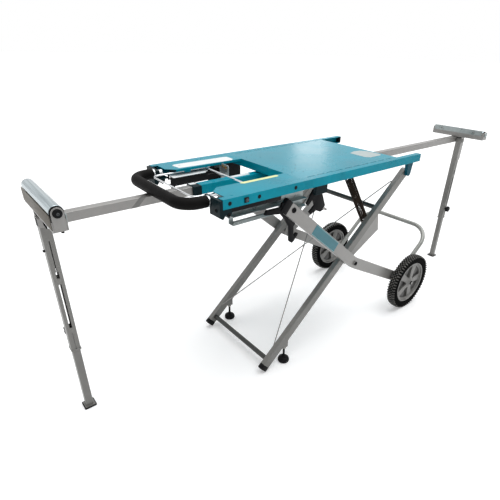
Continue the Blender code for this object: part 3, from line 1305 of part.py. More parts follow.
def catch_lever():
    """The forked catch lever with its sprung plunger."""
    arm = FOOT_LEG_DEPTH
    profile = [(CATCH_PIVOT.x + across * arm, CATCH_PIVOT.z + up * arm)
               for across, up in CATCH_LEVER_SHARES]
    piece = outline("catch_lever", [profile], CATCH_LEVER_WIDTH, "XZ", (0, CATCH_PIVOT.y, 0),
                    black_plastic("catch_black"))
    across, up = CATCH_PLUNGER_PLACE_SHARES
    tip = cylinder("catch_plunger", LEVELLING_STEM_RADIUS * CATCH_PLUNGER_SHARE, arm,
                   CATCH_PIVOT + Vector((across, 0, up)) * arm, CATCH_PLUNGER_WAY,
                   segments=12, collection=CUTTERS)
    weld(piece, tip)
    return soften(piece)


def lock_lever():
    """The two-armed lever in the near leg's forked end, whose hook frees the scissor."""
    unit = WHEEL_LEG_DEPTH
    profile = [(LOCK_PIVOT.x + across * unit, LOCK_PIVOT.z + up * unit)
               for across, up in LOCK_LEVER_SHARES]
    piece = outline("lock_lever", [profile], LOCK_LEVER_WIDTH, "XZ",
                    (0, -WHEEL_LEG_Y, 0), black_plastic("lock_lever_black"))
    soften(piece)
    return cut(piece, cylinder("lock_lever_bore", LOCK_PIN_RADIUS + PIN_CLEARANCE,
                               2 * LOCK_LEVER_WIDTH, LOCK_PIVOT, (0, 1, 0), segments=12,
                               collection=CUTTERS))


def build():
    deck_plate()
    handle()
    cross_channel("front_cross_channel", FRONT_CHANNEL_X, PLATE_LIP_HALF)
    cross_channel("rear_cross_channel", REAR_CHANNEL_X, RAIL_INNER_Y - SHEET)
    sleeve("front_arm_sleeve", FRONT_SLEEVE_SPAN, FRONT_ARM_Y)
    sleeve("rear_arm_sleeve", REAR_SLEEVE_SPAN, REAR_ARM_Y)
    front_block_x = FRONT_SLEEVE_SPAN[0] - CLAMP_BLOCK_LENGTH / 2 - GAP
    rear_block_x = REAR_SLEEVE_SPAN[1] + CLAMP_BLOCK_LENGTH / 2 + GAP
    clamp_block("front_clamp_block", front_block_x, FRONT_ARM_Y)
    clamp_block("rear_clamp_block", rear_block_x, REAR_ARM_Y)
    front_face = FRONT_ARM_Y + SLEEVE_SIZE / 2 + CLAMP_BLOCK_WALL + GAP
    front_knob = (front_block_x, front_face, ARM_Z)
    rear_knob = (rear_block_x, REAR_ARM_Y, ARM_Z + SLEEVE_SIZE / 2 + GAP)
    carry(pivot("front_arm_clamp_axis", front_knob),
          clamp_lever("front_arm_clamp", front_knob, (0, 1, 0), -1, "front_clamp_black"))
    carry(pivot("rear_arm_clamp_axis", rear_knob),
          clamp_lever("rear_arm_clamp", rear_knob, (0, 0, 1), 1, "rear_clamp_black"))
    assist_spring()
    release_housing()
    carry(pivot("release_slide", (BAIL_FRONT_X, 0, WORKING_HEIGHT - BAIL_DROP)), release_bail())
    catch_block()
    carry(pivot("catch_hinge", CATCH_PIVOT), catch_lever())
    fold = pivot("fold_hinge", FOLD_HINGE)
    length = (FOLD_HINGE - FOOT_END).length
    carry(fold, cross_tube("upper_cross_tube", UPPER_CROSS_FROM_HINGE),
          cross_tube("lower_cross_tube", length - FOOT_CROSS_FROM_END), brace_wires())
    scissor = pivot("scissor_hinge", SCISSOR_PIVOT)
    carry(scissor, slider_cross_tube(), stand_loop())
    for name, side in SIDES:
        rail(name + "_rail", side)
        side_plate(name + "_side_plate", side)
        front_cap(name + "_front_cap", side)
        slide_track(name + "_slide_track", side)
        fold_bracket(name + "_fold_bracket", side)
        carry(fold, foot_leg(name + "_foot_leg", side), gusset(name + "_gusset", side))
        screw_line = pivot(name + "_levelling_axis", (LEVELLING_X, side * FOOT_LEG_Y, 0))
        carry(screw_line, levelling_foot(name + "_levelling_foot", side))
        carry(scissor, wheel_leg(name + "_wheel_leg", side),
              slider_roller(name + "_slider_roller", side))
        axle = pivot(name + "_wheel_axis", (WHEEL_AXLE.x, side * WHEEL_MIDDLE_Y, WHEEL_AXLE.z))
        carry(axle, rim(name + "_rim", side), tyre(name + "_tyre", side))
    carry(pivot("lock_lever_hinge", LOCK_PIVOT), lock_lever())
    roller_support("front", -1, FRONT_ARM_Y, FRONT_HEAD_Y)
    roller_support("rear", 1, REAR_ARM_Y, REAR_HEAD_Y)


build()
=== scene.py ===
from math import cos, pi, radians, sin, tan

import bmesh
import bpy
from mathutils import Matrix, Vector


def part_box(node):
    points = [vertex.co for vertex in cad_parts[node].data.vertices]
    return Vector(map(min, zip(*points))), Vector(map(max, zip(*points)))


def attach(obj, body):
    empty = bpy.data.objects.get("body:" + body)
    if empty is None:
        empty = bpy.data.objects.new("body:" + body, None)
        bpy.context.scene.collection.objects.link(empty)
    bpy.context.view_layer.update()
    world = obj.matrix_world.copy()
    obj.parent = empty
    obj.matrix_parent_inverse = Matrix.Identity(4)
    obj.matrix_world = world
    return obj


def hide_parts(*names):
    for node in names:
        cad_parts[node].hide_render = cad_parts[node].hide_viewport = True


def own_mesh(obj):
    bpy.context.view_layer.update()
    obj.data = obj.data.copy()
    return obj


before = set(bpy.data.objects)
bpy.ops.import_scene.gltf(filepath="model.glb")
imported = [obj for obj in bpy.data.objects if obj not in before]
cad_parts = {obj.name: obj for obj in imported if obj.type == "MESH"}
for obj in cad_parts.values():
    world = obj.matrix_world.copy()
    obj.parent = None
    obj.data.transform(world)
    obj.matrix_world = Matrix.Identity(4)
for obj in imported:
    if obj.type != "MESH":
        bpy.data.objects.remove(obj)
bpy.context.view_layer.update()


# The camera, at the photograph's place: close to the near front corner of the deck and a
# little above it, looking down across the stand. The picture is 500 by 500.

CAMERA_PLACE = Vector((-1.3837, -1.2470, 1.2596))
CAMERA_TURN = 0.70325
CAMERA_DIP = 0.49541
CAMERA_ROLL = 0.026223
LENS_LENGTH = 29.21
SENSOR_WIDTH = 36.0
LENS_SHIFT = (-0.0319, 0.0328)

scene = bpy.context.scene
scene.view_settings.view_transform = "Standard"
ahead = Vector((sin(CAMERA_TURN) * cos(CAMERA_DIP), cos(CAMERA_TURN) * cos(CAMERA_DIP),
                -sin(CAMERA_DIP)))
level = Vector((cos(CAMERA_TURN), -sin(CAMERA_TURN), 0.0))
above = level.cross(ahead)
camera_right = level * cos(CAMERA_ROLL) + above * sin(CAMERA_ROLL)
camera_up = above * cos(CAMERA_ROLL) - level * sin(CAMERA_ROLL)
lens = bpy.data.cameras.new("camera")
lens.lens = LENS_LENGTH
lens.sensor_width = SENSOR_WIDTH
lens.shift_x, lens.shift_y = LENS_SHIFT
camera = bpy.data.objects.new("camera", lens)
scene.collection.objects.link(camera)
camera.matrix_world = Matrix.Translation(CAMERA_PLACE) @ Matrix(
    (camera_right, camera_up, -ahead)).transposed().to_4x4()
scene.camera = camera


# The room: a plain pale floor that keeps the stand's shadow, an even sky, and soft lamps
# above and behind, as round a product on white paper.

def add(tree, kind, inputs=None, **settings):
    """A node with its settings, and each input set to a value or joined to a socket."""
    node = tree.nodes.new(kind)
    for setting, value in settings.items():
        setattr(node, setting, value)
    for name, value in (inputs or {}).items():
        if isinstance(value, bpy.types.NodeSocket):
            tree.links.new(value, node.inputs[name])
        else:
            node.inputs[name].default_value = value
    return node


def looked_at(tree):
    """1 where the camera, a gloss or clear glass looks, and 0 where light is gathered."""
    rays = add(tree, "ShaderNodeLightPath")
    seen = add(tree, "ShaderNodeMath", {0: rays.outputs["Is Camera Ray"],
                                        1: rays.outputs["Is Glossy Ray"]},
               operation="MAXIMUM")
    return add(tree, "ShaderNodeMath", {0: seen.outputs[0],
                                        1: rays.outputs["Is Transmission Ray"]},
               operation="MAXIMUM").outputs[0]


SKY_FOR_LIGHT = 0.42
SKY_TONE = (0.97, 0.985, 1.0, 1.0)
FLOOR_SHADE = (0.86, 0.86, 0.86, 1.0)
FLOOR_LIFT = 0.30
FLOOR_REACH = 60.0
FLOOR_DROP = 0.0006

world = bpy.data.worlds.new("room")
world.use_nodes = True
scene.world = world
sky = world.node_tree
sky.nodes.clear()
white = add(sky, "ShaderNodeBackground", {"Color": (1.0, 1.0, 1.0, 1.0), "Strength": 1.0})
even = add(sky, "ShaderNodeBackground", {"Color": SKY_TONE, "Strength": SKY_FOR_LIGHT})
choice = add(sky, "ShaderNodeMixShader", {0: looked_at(sky), 1: even.outputs[0],
                                          2: white.outputs[0]})
add(sky, "ShaderNodeOutputWorld", {"Surface": choice.outputs[0]})

paper = bpy.data.materials.new("pale_paper")
paper.use_nodes = True
sheet = paper.node_tree
sheet.nodes.clear()
matt = add(sheet, "ShaderNodeBsdfDiffuse", {"Color": FLOOR_SHADE})
lift = add(sheet, "ShaderNodeMath", {0: looked_at(sheet), 1: FLOOR_LIFT},
           operation="MULTIPLY")
glow = add(sheet, "ShaderNodeEmission", {"Strength": lift.outputs[0]})
both = add(sheet, "ShaderNodeAddShader", {0: matt.outputs[0], 1: glow.outputs[0]})
add(sheet, "ShaderNodeOutputMaterial", {"Surface": both.outputs[0]})

floor_mesh = bpy.data.meshes.new("floor")
floor_shape = bmesh.new()
bmesh.ops.create_grid(floor_shape, x_segments=1, y_segments=1, size=FLOOR_REACH)
floor_shape.to_mesh(floor_mesh)
floor_shape.free()
floor_mesh.transform(Matrix.Translation((0, 0, -FLOOR_DROP)))
floor_mesh.materials.append(paper)
floor = bpy.data.objects.new("floor", floor_mesh)
scene.collection.objects.link(floor)


def lamp(name, kind, place, aim, width, power):
    """A soft lamp: a square one of this width, or an even far one of this spread."""
    light = bpy.data.lights.new(name, kind)
    if kind == "AREA":
        light.shape = "SQUARE"
        light.size = width
    else:
        light.angle = width
    light.energy = power
    holder = bpy.data.objects.new(name, light)
    scene.collection.objects.link(holder)
    holder.location = place
    holder.rotation_mode = "QUATERNION"
    holder.rotation_quaternion = (Vector(aim) - Vector(place)).to_track_quat("-Z", "Y")


lamp("even_lamp", "SUN", (0.7, -0.1, 3.6), (0.0, 0.0, 0.0), width=radians(60),
     power=2.5)
lamp("rear_lamp", "AREA", (2.3, 2.3, 1.5), (0.05, 0.1, 0.845), width=0.4, power=1.6)
lamp("side_lamp", "AREA", (-3.0, -1.6, 1.9), (-0.2, 0.0, 0.5), width=1.6,
     power=1.5)


# The two rails: folded steel channels, web outwards, in teal powder coat. Black plugs close
# their rear ends and the holes of each web, and a black seat takes a bolt between them.

TONE_STOPS = (0.33, 0.67)
GLOSS_STOPS = (0.3, 0.7)
# Rounded edges are lightened in patches: partly wear, partly painted highlight.
WEAR_AND_HIGHLIGHT_STARTS, WEAR_AND_HIGHLIGHT_FULL, WEAR_AND_HIGHLIGHT_STRENGTH = 0.97, 0.80, 0.55


def colour(red, green, blue):
    """A colour as read off a screen, 0 to 255, in the values that a shader takes."""
    values = [value / 255 for value in (red, green, blue)]
    return (*[value / 12.92 if value <= 0.04045 else ((value + 0.055) / 1.055) ** 2.4
              for value in values], 1.0)


def surface(name, tones, shine, metallic=0.0, patches=9.0, grain=900.0, depth=0.00005,
            edge=0.0008, edge_wear_and_highlight=None, stretch=(1.0, 1.0, 1.0), cells=False, lustre=0.5,
            bending=1.5):
    """A finish: two close tones in soft patches, a fine grain, rounded edges, and edges
    lightened in patches, partly wear and partly painted highlight.
    """
    material = bpy.data.materials.new(name)
    material.use_nodes = True
    tree = material.node_tree
    shader = tree.nodes["Principled BSDF"]
    shader.inputs["Metallic"].default_value = metallic
    shader.inputs["Specular IOR Level"].default_value = lustre
    shader.inputs["IOR"].default_value = bending
    here = add(tree, "ShaderNodeTexCoord").outputs["Object"]
    laid = add(tree, "ShaderNodeMapping", {"Vector": here, "Scale": stretch}).outputs[0]
    cloud = add(tree, "ShaderNodeTexNoise", {"Vector": laid, "Scale": patches,
                                             "Detail": 5.0, "Roughness": 0.6})
    ramp = add(tree, "ShaderNodeValToRGB", {"Fac": cloud.outputs["Fac"]})
    for stop, place, tone in zip(ramp.color_ramp.elements, TONE_STOPS, tones):
        stop.position = place
        stop.color = colour(*tone)
    paint = ramp.outputs["Color"]
    rounded = add(tree, "ShaderNodeBevel", {"Radius": edge}, samples=4)
    # Where the bevelled normal turns from the true one, the tone is lightened: wear and
    # painted highlight.
    if edge_wear_and_highlight is not None:
        true_normal = add(tree, "ShaderNodeNewGeometry").outputs["Normal"]
        turn = add(tree, "ShaderNodeVectorMath", {0: rounded.outputs[0], 1: true_normal},
                   operation="DOT_PRODUCT")
        edge_lightening = add(tree, "ShaderNodeMapRange", {"Value": turn.outputs["Value"],
                                                  "From Min": WEAR_AND_HIGHLIGHT_STARTS,
                                                  "From Max": WEAR_AND_HIGHLIGHT_FULL, "To Min": 0.0,
                                                  "To Max": WEAR_AND_HIGHLIGHT_STRENGTH})
        patchy_edge_lightening = add(tree, "ShaderNodeMath", {0: edge_lightening.outputs[0],
                                              1: cloud.outputs["Fac"]},
                     operation="MULTIPLY")
        mixed = add(tree, "ShaderNodeMix", {"Factor": patchy_edge_lightening.outputs[0]},
                    data_type="RGBA")
        tree.links.new(paint, mixed.inputs["A"])
        mixed.inputs["B"].default_value = colour(*edge_wear_and_highlight)
        paint = mixed.outputs["Result"]
    tree.links.new(paint, shader.inputs["Base Color"])
    gloss = add(tree, "ShaderNodeMapRange", {"Value": cloud.outputs["Fac"],
                                             "From Min": GLOSS_STOPS[0],
                                             "From Max": GLOSS_STOPS[1],
                                             "To Min": shine[0], "To Max": shine[1]})
    tree.links.new(gloss.outputs[0], shader.inputs["Roughness"])
    if cells:
        fine = add(tree, "ShaderNodeTexVoronoi", {"Vector": laid, "Scale": grain})
        relief = fine.outputs["Distance"]
    else:
        fine = add(tree, "ShaderNodeTexNoise", {"Vector": laid, "Scale": grain,
                                                "Detail": 2.0})
        relief = fine.outputs["Fac"]
    bump = add(tree, "ShaderNodeBump", {"Height": relief, "Distance": depth,
                                        "Normal": rounded.outputs[0]})
    tree.links.new(bump.outputs[0], shader.inputs["Normal"])
    return material


def dress(material, *nodes):
    """Gives a finish to parts of the frame that keep their shape."""
    for node in nodes:
        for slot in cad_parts[node].material_slots:
            slot.material = material


TEAL = surface("teal_powder_coat", ((0, 132, 152), (4, 147, 168)), (0.24, 0.34),
               patches=7.0, grain=1100.0, depth=0.00005, edge_wear_and_highlight=(120, 195, 210), lustre=0.09)
BLACK = surface("black_moulding", ((12, 12, 14), (20, 20, 22)), (0.38, 0.55),
                patches=30.0, grain=1600.0, depth=0.00004, edge=0.0006, lustre=0.3,
                bending=1.25)
dress(TEAL, "near_rail", "far_rail", "near_side_plate", "far_side_plate")

SAME_PLACE = 0.00001


def cleaned(mesh):
    """The same mesh with doubled points merged and its faces turned outwards."""
    shape = bmesh.new()
    shape.from_mesh(mesh)
    bmesh.ops.remove_doubles(shape, verts=shape.verts, dist=SAME_PLACE)
    bmesh.ops.recalc_face_normals(shape, faces=shape.faces)
    shape.to_mesh(mesh)
    shape.free()
    return mesh


def baked(draft):
    """The evaluated mesh of a draft, which is then removed."""
    bpy.context.view_layer.update()
    evaluated = draft.evaluated_get(bpy.context.evaluated_depsgraph_get())
    mesh = bpy.data.meshes.new_from_object(evaluated)
    mesh.transform(draft.matrix_world)
    bpy.data.objects.remove(draft, do_unlink=True)
    return mesh


def fitted(name, mesh, material, body, *stands_for, crease=40.0):
    """A finished piece: smooth shaded, with its finish, riding on its body."""
    mesh.name = name
    mesh.materials.clear()
    mesh.materials.append(material)
    mesh.shade_smooth()
    mesh.set_sharp_from_angle(angle=radians(crease))
    piece = bpy.data.objects.new(name, mesh)
    scene.collection.objects.link(piece)
    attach(piece, body)
    if stands_for:
        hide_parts(*stands_for)
    return piece


def as_mesh(shape, name):
    """A worked shape written out as a mesh."""
    mesh = bpy.data.meshes.new(name)
    shape.to_mesh(mesh)
    shape.free()
    return mesh


def together(*meshes):
    """Several meshes as one."""
    shape = bmesh.new()
    for mesh in meshes:
        shape.from_mesh(mesh)
    return as_mesh(shape, "joined")


def eased(mesh, width, segments=2, least=radians(30)):
    """The same mesh with its sharp edges rounded."""
    shape = bmesh.new()
    shape.from_mesh(mesh)
    sharp = [edge for edge in shape.edges
             if len(edge.link_faces) == 2 and edge.calc_face_angle(0.0) > least]
    bmesh.ops.bevel(shape, geom=sharp, offset=width, segments=segments, profile=0.5,
                    affect="EDGES", clamp_overlap=True)
    shape.to_mesh(mesh)
    shape.free()
    return mesh


def block(size, centre, ease=0.0006):
    """A box with eased edges."""
    shape = bmesh.new()
    bmesh.ops.create_cube(shape, size=1.0)
    bmesh.ops.scale(shape, vec=size, verts=shape.verts)
    bmesh.ops.translate(shape, vec=centre, verts=shape.verts)
    return eased(as_mesh(shape, "block"), ease)


ACROSS = {"XZ": Matrix(((1, 0, 0, 0), (0, 0, -1, 0), (0, 1, 0, 0), (0, 0, 0, 1))),
          "YZ": Matrix(((0, 0, 1, 0), (1, 0, 0, 0), (0, 1, 0, 0), (0, 0, 0, 1))),
          "XY": Matrix.Identity(4)}


def plate(loops, thickness, plane, place, ease=0.0):
    """A flat outline with its holes, given a thickness and eased edges."""
    curve = bpy.data.curves.new("plate", "CURVE")
    curve.dimensions = "2D"
    curve.fill_mode = "BOTH"
    curve.extrude = thickness / 2
    for loop in loops:
        spline = curve.splines.new("POLY")
        spline.points.add(len(loop) - 1)
        for point, (along, up) in zip(spline.points, loop):
            point.co = (along, up, 0.0, 1.0)
        spline.use_cyclic_u = True
    draft = bpy.data.objects.new("plate", curve)
    scene.collection.objects.link(draft)
    draft.matrix_world = Matrix.Translation(place) @ ACROSS[plane]
    mesh = cleaned(baked(draft))
    if ease:
        shape = bmesh.new()
        shape.from_mesh(mesh)
        bmesh.ops.dissolve_limit(shape, angle_limit=radians(1), verts=shape.verts,
                                 edges=shape.edges)
        shape.to_mesh(mesh)
        shape.free()
        eased(mesh, ease)
    return mesh


def arc(centre, radius, start, end, steps):
    """Points along a part of a circle."""
    turns = [start + (end - start) * step / steps for step in range(steps + 1)]
    return [(centre[0] + radius * cos(turn), centre[1] + radius * sin(turn))
            for turn in turns]


CORNER_STEPS = 5


def panel(width, height, corner, middle=(0.0, 0.0)):
    """A rectangle with rounded corners."""
    points = []
    for quarter, (x, y) in enumerate(((1, 1), (-1, 1), (-1, -1), (1, -1))):
        turn = (middle[0] + x * (width / 2 - corner), middle[1] + y * (height / 2 - corner))
        points += arc(turn, corner, quarter * pi / 2, (quarter + 1) * pi / 2,
                      CORNER_STEPS)
    return points


UPWARDS = Vector((0, 0, 1))


def standing(place, axis):
    """The move that sets an upright piece at a place and along an axis."""
    turn = UPWARDS.rotation_difference(Vector(axis)).to_matrix().to_4x4()
    return Matrix.Translation(place) @ turn


def turned(profile, centre, axis, steps=40):
    """A solid of revolution from radius and height pairs, about an axis through a place."""
    shape = bmesh.new()
    line = [shape.verts.new((radius, 0.0, height)) for radius, height in profile]
    edges = [shape.edges.new(pair) for pair in zip(line, line[1:])]
    bmesh.ops.spin(shape, geom=line + edges, cent=(0, 0, 0), axis=(0, 0, 1),
                   angle=2 * pi, steps=steps, use_merge=True)
    mesh = as_mesh(shape, "turned")
    mesh.transform(standing(centre, axis))
    return cleaned(mesh)


SIDES = (("near", -1), ("far", 1))
RAIL_WEB_Y = 0.2547
RAIL_HALF_WIDTH = 0.0125
RAIL_MIDDLE_Z = 0.8285
RAIL_BOLT_X = -0.632
BOLT_SEAT = 0.0165
BOLT_SEAT_DEPTH = 0.0050
RAIL_HOLES_X = (-0.696, -0.578, -0.414)
HOLE_PLUG = [(0.0, 0.0012), (0.0052, 0.0011), (0.0070, 0.0004), (0.0070, 0.0001),
             (0.0056, 0.0001), (0.0056, -0.0020), (0.0, -0.0020)]
END_PLUG = (0.0250, 0.0330)
END_PLUG_DEPTH = 0.0014
END_PLUG_CORE = (0.010, 0.0200, 0.0272)
# A black strip below each web is painted shadow under the rail.
RAIL_SHADOW_STRIP = (0.228, 0.0018, 0.0140)
RAIL_SHADOW_STRIP_PLACE = (-0.595, 0.2534, 0.8048)
rail_end_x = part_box("near_rail")[1].x
for word, side in SIDES:
    middle_y = side * (RAIL_WEB_Y - RAIL_HALF_WIDTH)
    plug_face = plate([panel(*END_PLUG, 0.0022)], END_PLUG_DEPTH, "YZ",
                      (rail_end_x + 0.0010, middle_y, RAIL_MIDDLE_Z), 0.0004)
    plug_core = block(END_PLUG_CORE,
                      (rail_end_x - 0.0048, middle_y - side * 0.0012, RAIL_MIDDLE_Z))
    fitted(word + "_rail_end_plug", together(plug_face, plug_core), BLACK, "deck")
    plugs = [turned(HOLE_PLUG, (x, side * RAIL_WEB_Y, RAIL_MIDDLE_Z), (0, side, 0), 28)
             for x in RAIL_HOLES_X]
    seat_y = side * (RAIL_WEB_Y + BOLT_SEAT_DEPTH / 2)
    seat = block((BOLT_SEAT, BOLT_SEAT_DEPTH, BOLT_SEAT),
                 (RAIL_BOLT_X, seat_y, RAIL_MIDDLE_Z), 0.0010)
    # The painted shadow strip under the rail, joined to the plugs and seat.
    x, y, z = RAIL_SHADOW_STRIP_PLACE
    strip = block(RAIL_SHADOW_STRIP, (x, side * y, z), 0.0005)
    fitted(word + "_rail_plugs", together(seat, strip, *plugs), BLACK, "deck")


# The rail bolts, and the way every screw here is set out: a node tree puts a head on each
# place, turned to face outwards, and makes one plain mesh for each body. The rail bolts are
# blackened hexagon heads on washers.

def fastener_tree():
    """The tree, and the identifiers of its inputs by their names."""
    tree = bpy.data.node_groups.new("fasteners", "GeometryNodeTree")
    sockets = {}
    for name, kind in (("Places", "NodeSocketGeometry"), ("Head", "NodeSocketObject"),
                       ("Finish", "NodeSocketMaterial")):
        made = tree.interface.new_socket(name, in_out="INPUT", socket_type=kind)
        sockets[name] = made.identifier
    tree.interface.new_socket("Fasteners", in_out="OUTPUT",
                              socket_type="NodeSocketGeometry")
    given = tree.nodes.new("NodeGroupInput")
    facing = add(tree, "GeometryNodeInputNamedAttribute", {"Name": "facing"},
                 data_type="FLOAT_VECTOR")
    turn = add(tree, "FunctionNodeAlignRotationToVector",
               {"Vector": facing.outputs["Attribute"]}, axis="Z")
    head = add(tree, "GeometryNodeObjectInfo", {"Object": given.outputs["Head"]})
    laid = add(tree, "GeometryNodeInstanceOnPoints",
               {"Points": given.outputs["Places"], "Instance": head.outputs["Geometry"],
                "Rotation": turn.outputs[0]})
    solid = add(tree, "GeometryNodeRealizeInstances", {"Geometry": laid.outputs[0]})
    done = add(tree, "GeometryNodeSetMaterial", {"Geometry": solid.outputs[0],
                                                 "Material": given.outputs["Finish"]})
    add(tree, "NodeGroupOutput", {0: done.outputs[0]})
    return tree, sockets


FASTENERS, FASTENER_INPUTS = fastener_tree()


def fasten(name, head, material, body, places):
    """One mesh of like fasteners, each given as its place and the way it faces."""
    mesh = bpy.data.meshes.new(name)
    mesh.from_pydata([place for place, way in places], [], [])
    facing = mesh.attributes.new("facing", "FLOAT_VECTOR", "POINT")
    for item, (place, way) in zip(facing.data, places):
        item.vector = way
    draft = bpy.data.objects.new(name, mesh)
    scene.collection.objects.link(draft)
    setting = draft.modifiers.new("set out", "NODES")
    setting.node_group = FASTENERS
    setting[FASTENER_INPUTS["Head"]] = head
    setting[FASTENER_INPUTS["Finish"]] = material
    return fitted(name, baked(draft), material, body)


def head_pattern(name, mesh):
    """A pattern for fasteners. It is kept out of the picture and removed at the end."""
    mesh.shade_smooth()
    mesh.set_sharp_from_angle(angle=radians(35))
    pattern = bpy.data.objects.new(name, mesh)
    scene.collection.objects.link(pattern)
    pattern.hide_render = True
    return pattern


def hex_head(across, height, washer):
    """A hexagon head with a chamfered top on a round washer."""
    lower = 0.18 * height
    washer_mesh = turned([(0.0, lower), (washer - lower, lower), (washer, lower / 2),
                          (washer, 0.0), (0.0, 0.0)], (0, 0, 0), UPWARDS, 28)
    hexagon = turned([(0.0, height), (across * 0.42, height), (across * 0.56, height * 0.86),
                      (across * 0.577, lower), (0.0, lower)], (0, 0, 0), UPWARDS, 6)
    return together(washer_mesh, hexagon)


DARK_BOLT = surface("blackened_bolt", ((52, 54, 56), (84, 86, 88)), (0.22, 0.36), 0.7,
                    patches=60.0, grain=700.0, depth=0.00003, edge=0.0004)
HEX_SMALL = head_pattern("hex_small",
                         hex_head(across=0.0085, height=0.0036, washer=0.0066))
for word, side in SIDES:
    head_y = side * (RAIL_WEB_Y + BOLT_SEAT_DEPTH - 0.0001)
    fasten(word + "_rail_bolt", HEX_SMALL, DARK_BOLT, "deck",
           [((RAIL_BOLT_X, head_y, RAIL_MIDDLE_Z), (0, side, 0))])


# The deck: one folded steel sheet in teal powder coat, with a row of slots beside each rail.
# Black blind rivets hold the clips under it, and a plain grey plate is stuck on near the
# rear end.

DECK_TEAL = surface("deck_powder_coat", ((0, 132, 152), (4, 147, 168)), (0.22, 0.32),
                    patches=3.0, grain=1100.0, depth=0.00005, lustre=0.12)
dress(DECK_TEAL, "deck_plate")
BARE_FILM = surface("bare_grey_film", ((158, 172, 172), (176, 188, 187)), (0.3, 0.45),
                    patches=45.0, grain=500.0, depth=0.00002)
DECK_TOP = 0.845
FILM = 0.0004
FILM_LIFT = 0.0001
RIVET = head_pattern("rivet", turned([(0.0, 0.0009), (0.0011, 0.0008), (0.0019, 0.0004),
                                      (0.0021, 0.0), (0.0, 0.0)], (0, 0, 0), UPWARDS, 18))
RIVETS = ((-0.327, -0.088), (-0.282, -0.109), (-0.331, -0.143), (-0.290, -0.162),
          (-0.246, -0.071), (-0.327, 0.088), (-0.282, 0.109), (-0.331, 0.143),
          (-0.290, 0.162), (-0.246, 0.071))
GREY_PLATE = [(0.105, -0.060), (0.150, -0.045), (0.185, -0.050), (0.205, -0.078),
              (0.208, -0.150), (0.190, -0.165), (0.120, -0.165), (0.102, -0.145)]
fasten("deck_rivets", RIVET, BLACK, "deck",
       [((x, y, DECK_TOP - 0.0001), (0, 0, 1)) for x, y in RIVETS])
ON_DECK = (0, 0, DECK_TOP + FILM_LIFT)
fitted("deck_bare_plate", plate([GREY_PLATE], FILM, "XY", ON_DECK), BARE_FILM, "deck")


# Side plates: flat steel strips beside the opening, with thin guide plates under them. Each
# carries a bare strip of film along its inner edge, white on the far one and pale yellow on
# the near one.

WHITE_FILM = surface("white_film", ((222, 226, 226), (236, 238, 238)), (0.25, 0.4),
                     patches=25.0, grain=400.0, depth=0.00002)
YELLOW_FILM = surface("pale_yellow_film", ((222, 226, 150), (236, 238, 172)), (0.25, 0.4),
                      patches=25.0, grain=400.0, depth=0.00002)
FAR_STRIP = [(-0.648, 0.148), (-0.410, 0.137), (-0.396, 0.150), (-0.396, 0.196),
             (-0.412, 0.200), (-0.640, 0.206), (-0.654, 0.194)]
fitted("far_bare_strip", plate([FAR_STRIP], FILM, "XY", ON_DECK), WHITE_FILM, "deck")
NEAR_STRIP = [(-0.570, -0.1365), (-0.408, -0.1365), (-0.402, -0.1455), (-0.410, -0.1545),
              (-0.566, -0.1545), (-0.574, -0.1455)]
fitted("near_bare_strip", plate([NEAR_STRIP], FILM, "XY", ON_DECK), YELLOW_FILM, "deck")
GUIDE_Z = 0.8200
GUIDE_OUTLINE = [(-0.690, 0.118), (-0.552, 0.118), (-0.527, 0.140), (-0.520, 0.185),
                 (-0.690, 0.185)]
for word, side in SIDES:
    outline = [(x, side * y) for x, y in GUIDE_OUTLINE]
    fitted(word + "_guide_plate", plate([outline], 0.0016, "XY", (0, 0, GUIDE_Z), 0.0004),
           WHITE_FILM, "deck")


# Front caps: dark teal mouldings that close the rails and hold the handle's ends, each
# fixed by two socket screws.

DARK_TEAL = surface("dark_teal_moulding", ((2, 20, 25), (5, 30, 35)), (0.32, 0.5),
                    patches=14.0, grain=1300.0, depth=0.00005, edge_wear_and_highlight=(30, 70, 80),
                    lustre=0.3, bending=1.25)
dress(DARK_TEAL, "near_front_cap", "far_front_cap", "front_clamp_block",
      "rear_clamp_block", "catch_block")


def button_head(radius, height):
    """A domed head with a hexagon socket."""
    dome = turned([(radius * 0.42, height), (radius * 0.75, height * 0.86),
                   (radius * 0.95, height * 0.5), (radius, 0.0), (0.0, 0.0)],
                  (0, 0, 0), UPWARDS, 28)
    socket = turned([(0.0, height * 0.4), (radius * 0.42, height * 0.4),
                     (radius * 0.42, height)], (0, 0, 0), UPWARDS, 6)
    shape = bmesh.new()
    shape.from_mesh(dome)
    shape.from_mesh(socket)
    rims = [edge for edge in shape.edges if len(edge.link_faces) == 1]
    bmesh.ops.bridge_loops(shape, edges=rims)
    bmesh.ops.recalc_face_normals(shape, faces=shape.faces)
    return as_mesh(shape, "button_head")


CAP_FACE_X = -0.733
FACE_SCREW_Y = 0.232
FACE_SCREW_Z = 0.806
SIDE_SCREW_X = -0.700
SIDE_SCREW_Z = 0.7915
BUTTON = head_pattern("button", button_head(radius=0.0060, height=0.0034))
for word, side in SIDES:
    fasten(word + "_cap_screws", BUTTON, BLACK, "deck",
           [((CAP_FACE_X, side * FACE_SCREW_Y, FACE_SCREW_Z), (-1, 0, 0)),
            ((SIDE_SCREW_X, side * RAIL_WEB_Y, SIDE_SCREW_Z), (0, side, 0))])


# The handle: a bent steel tube in a sleeve of dense dark foam, with a bright collar at each
# end where it enters its cap.

FOAM = surface("handle_foam", ((14, 13, 13), (20, 19, 19)), (0.5, 0.64), patches=18.0,
               grain=620.0, depth=0.00022, cells=True, edge=0.002, lustre=0.3,
               bending=1.18)
BRIGHT_STEEL = surface("bright_steel", ((196, 200, 202), (216, 219, 220)), (0.14, 0.26),
                       0.95, patches=30.0, grain=300.0, depth=0.00002)
HANDLE_RADIUS = 0.0125
GRIP_RADIUS = 0.0198
HANDLE_Z = 0.8275
HANDLE_Y = 0.190
HANDLE_FRONT_X = -0.824
HANDLE_CORNER = 0.060
HANDLE_END_X = -0.703
GRIP_END_X = -0.7415


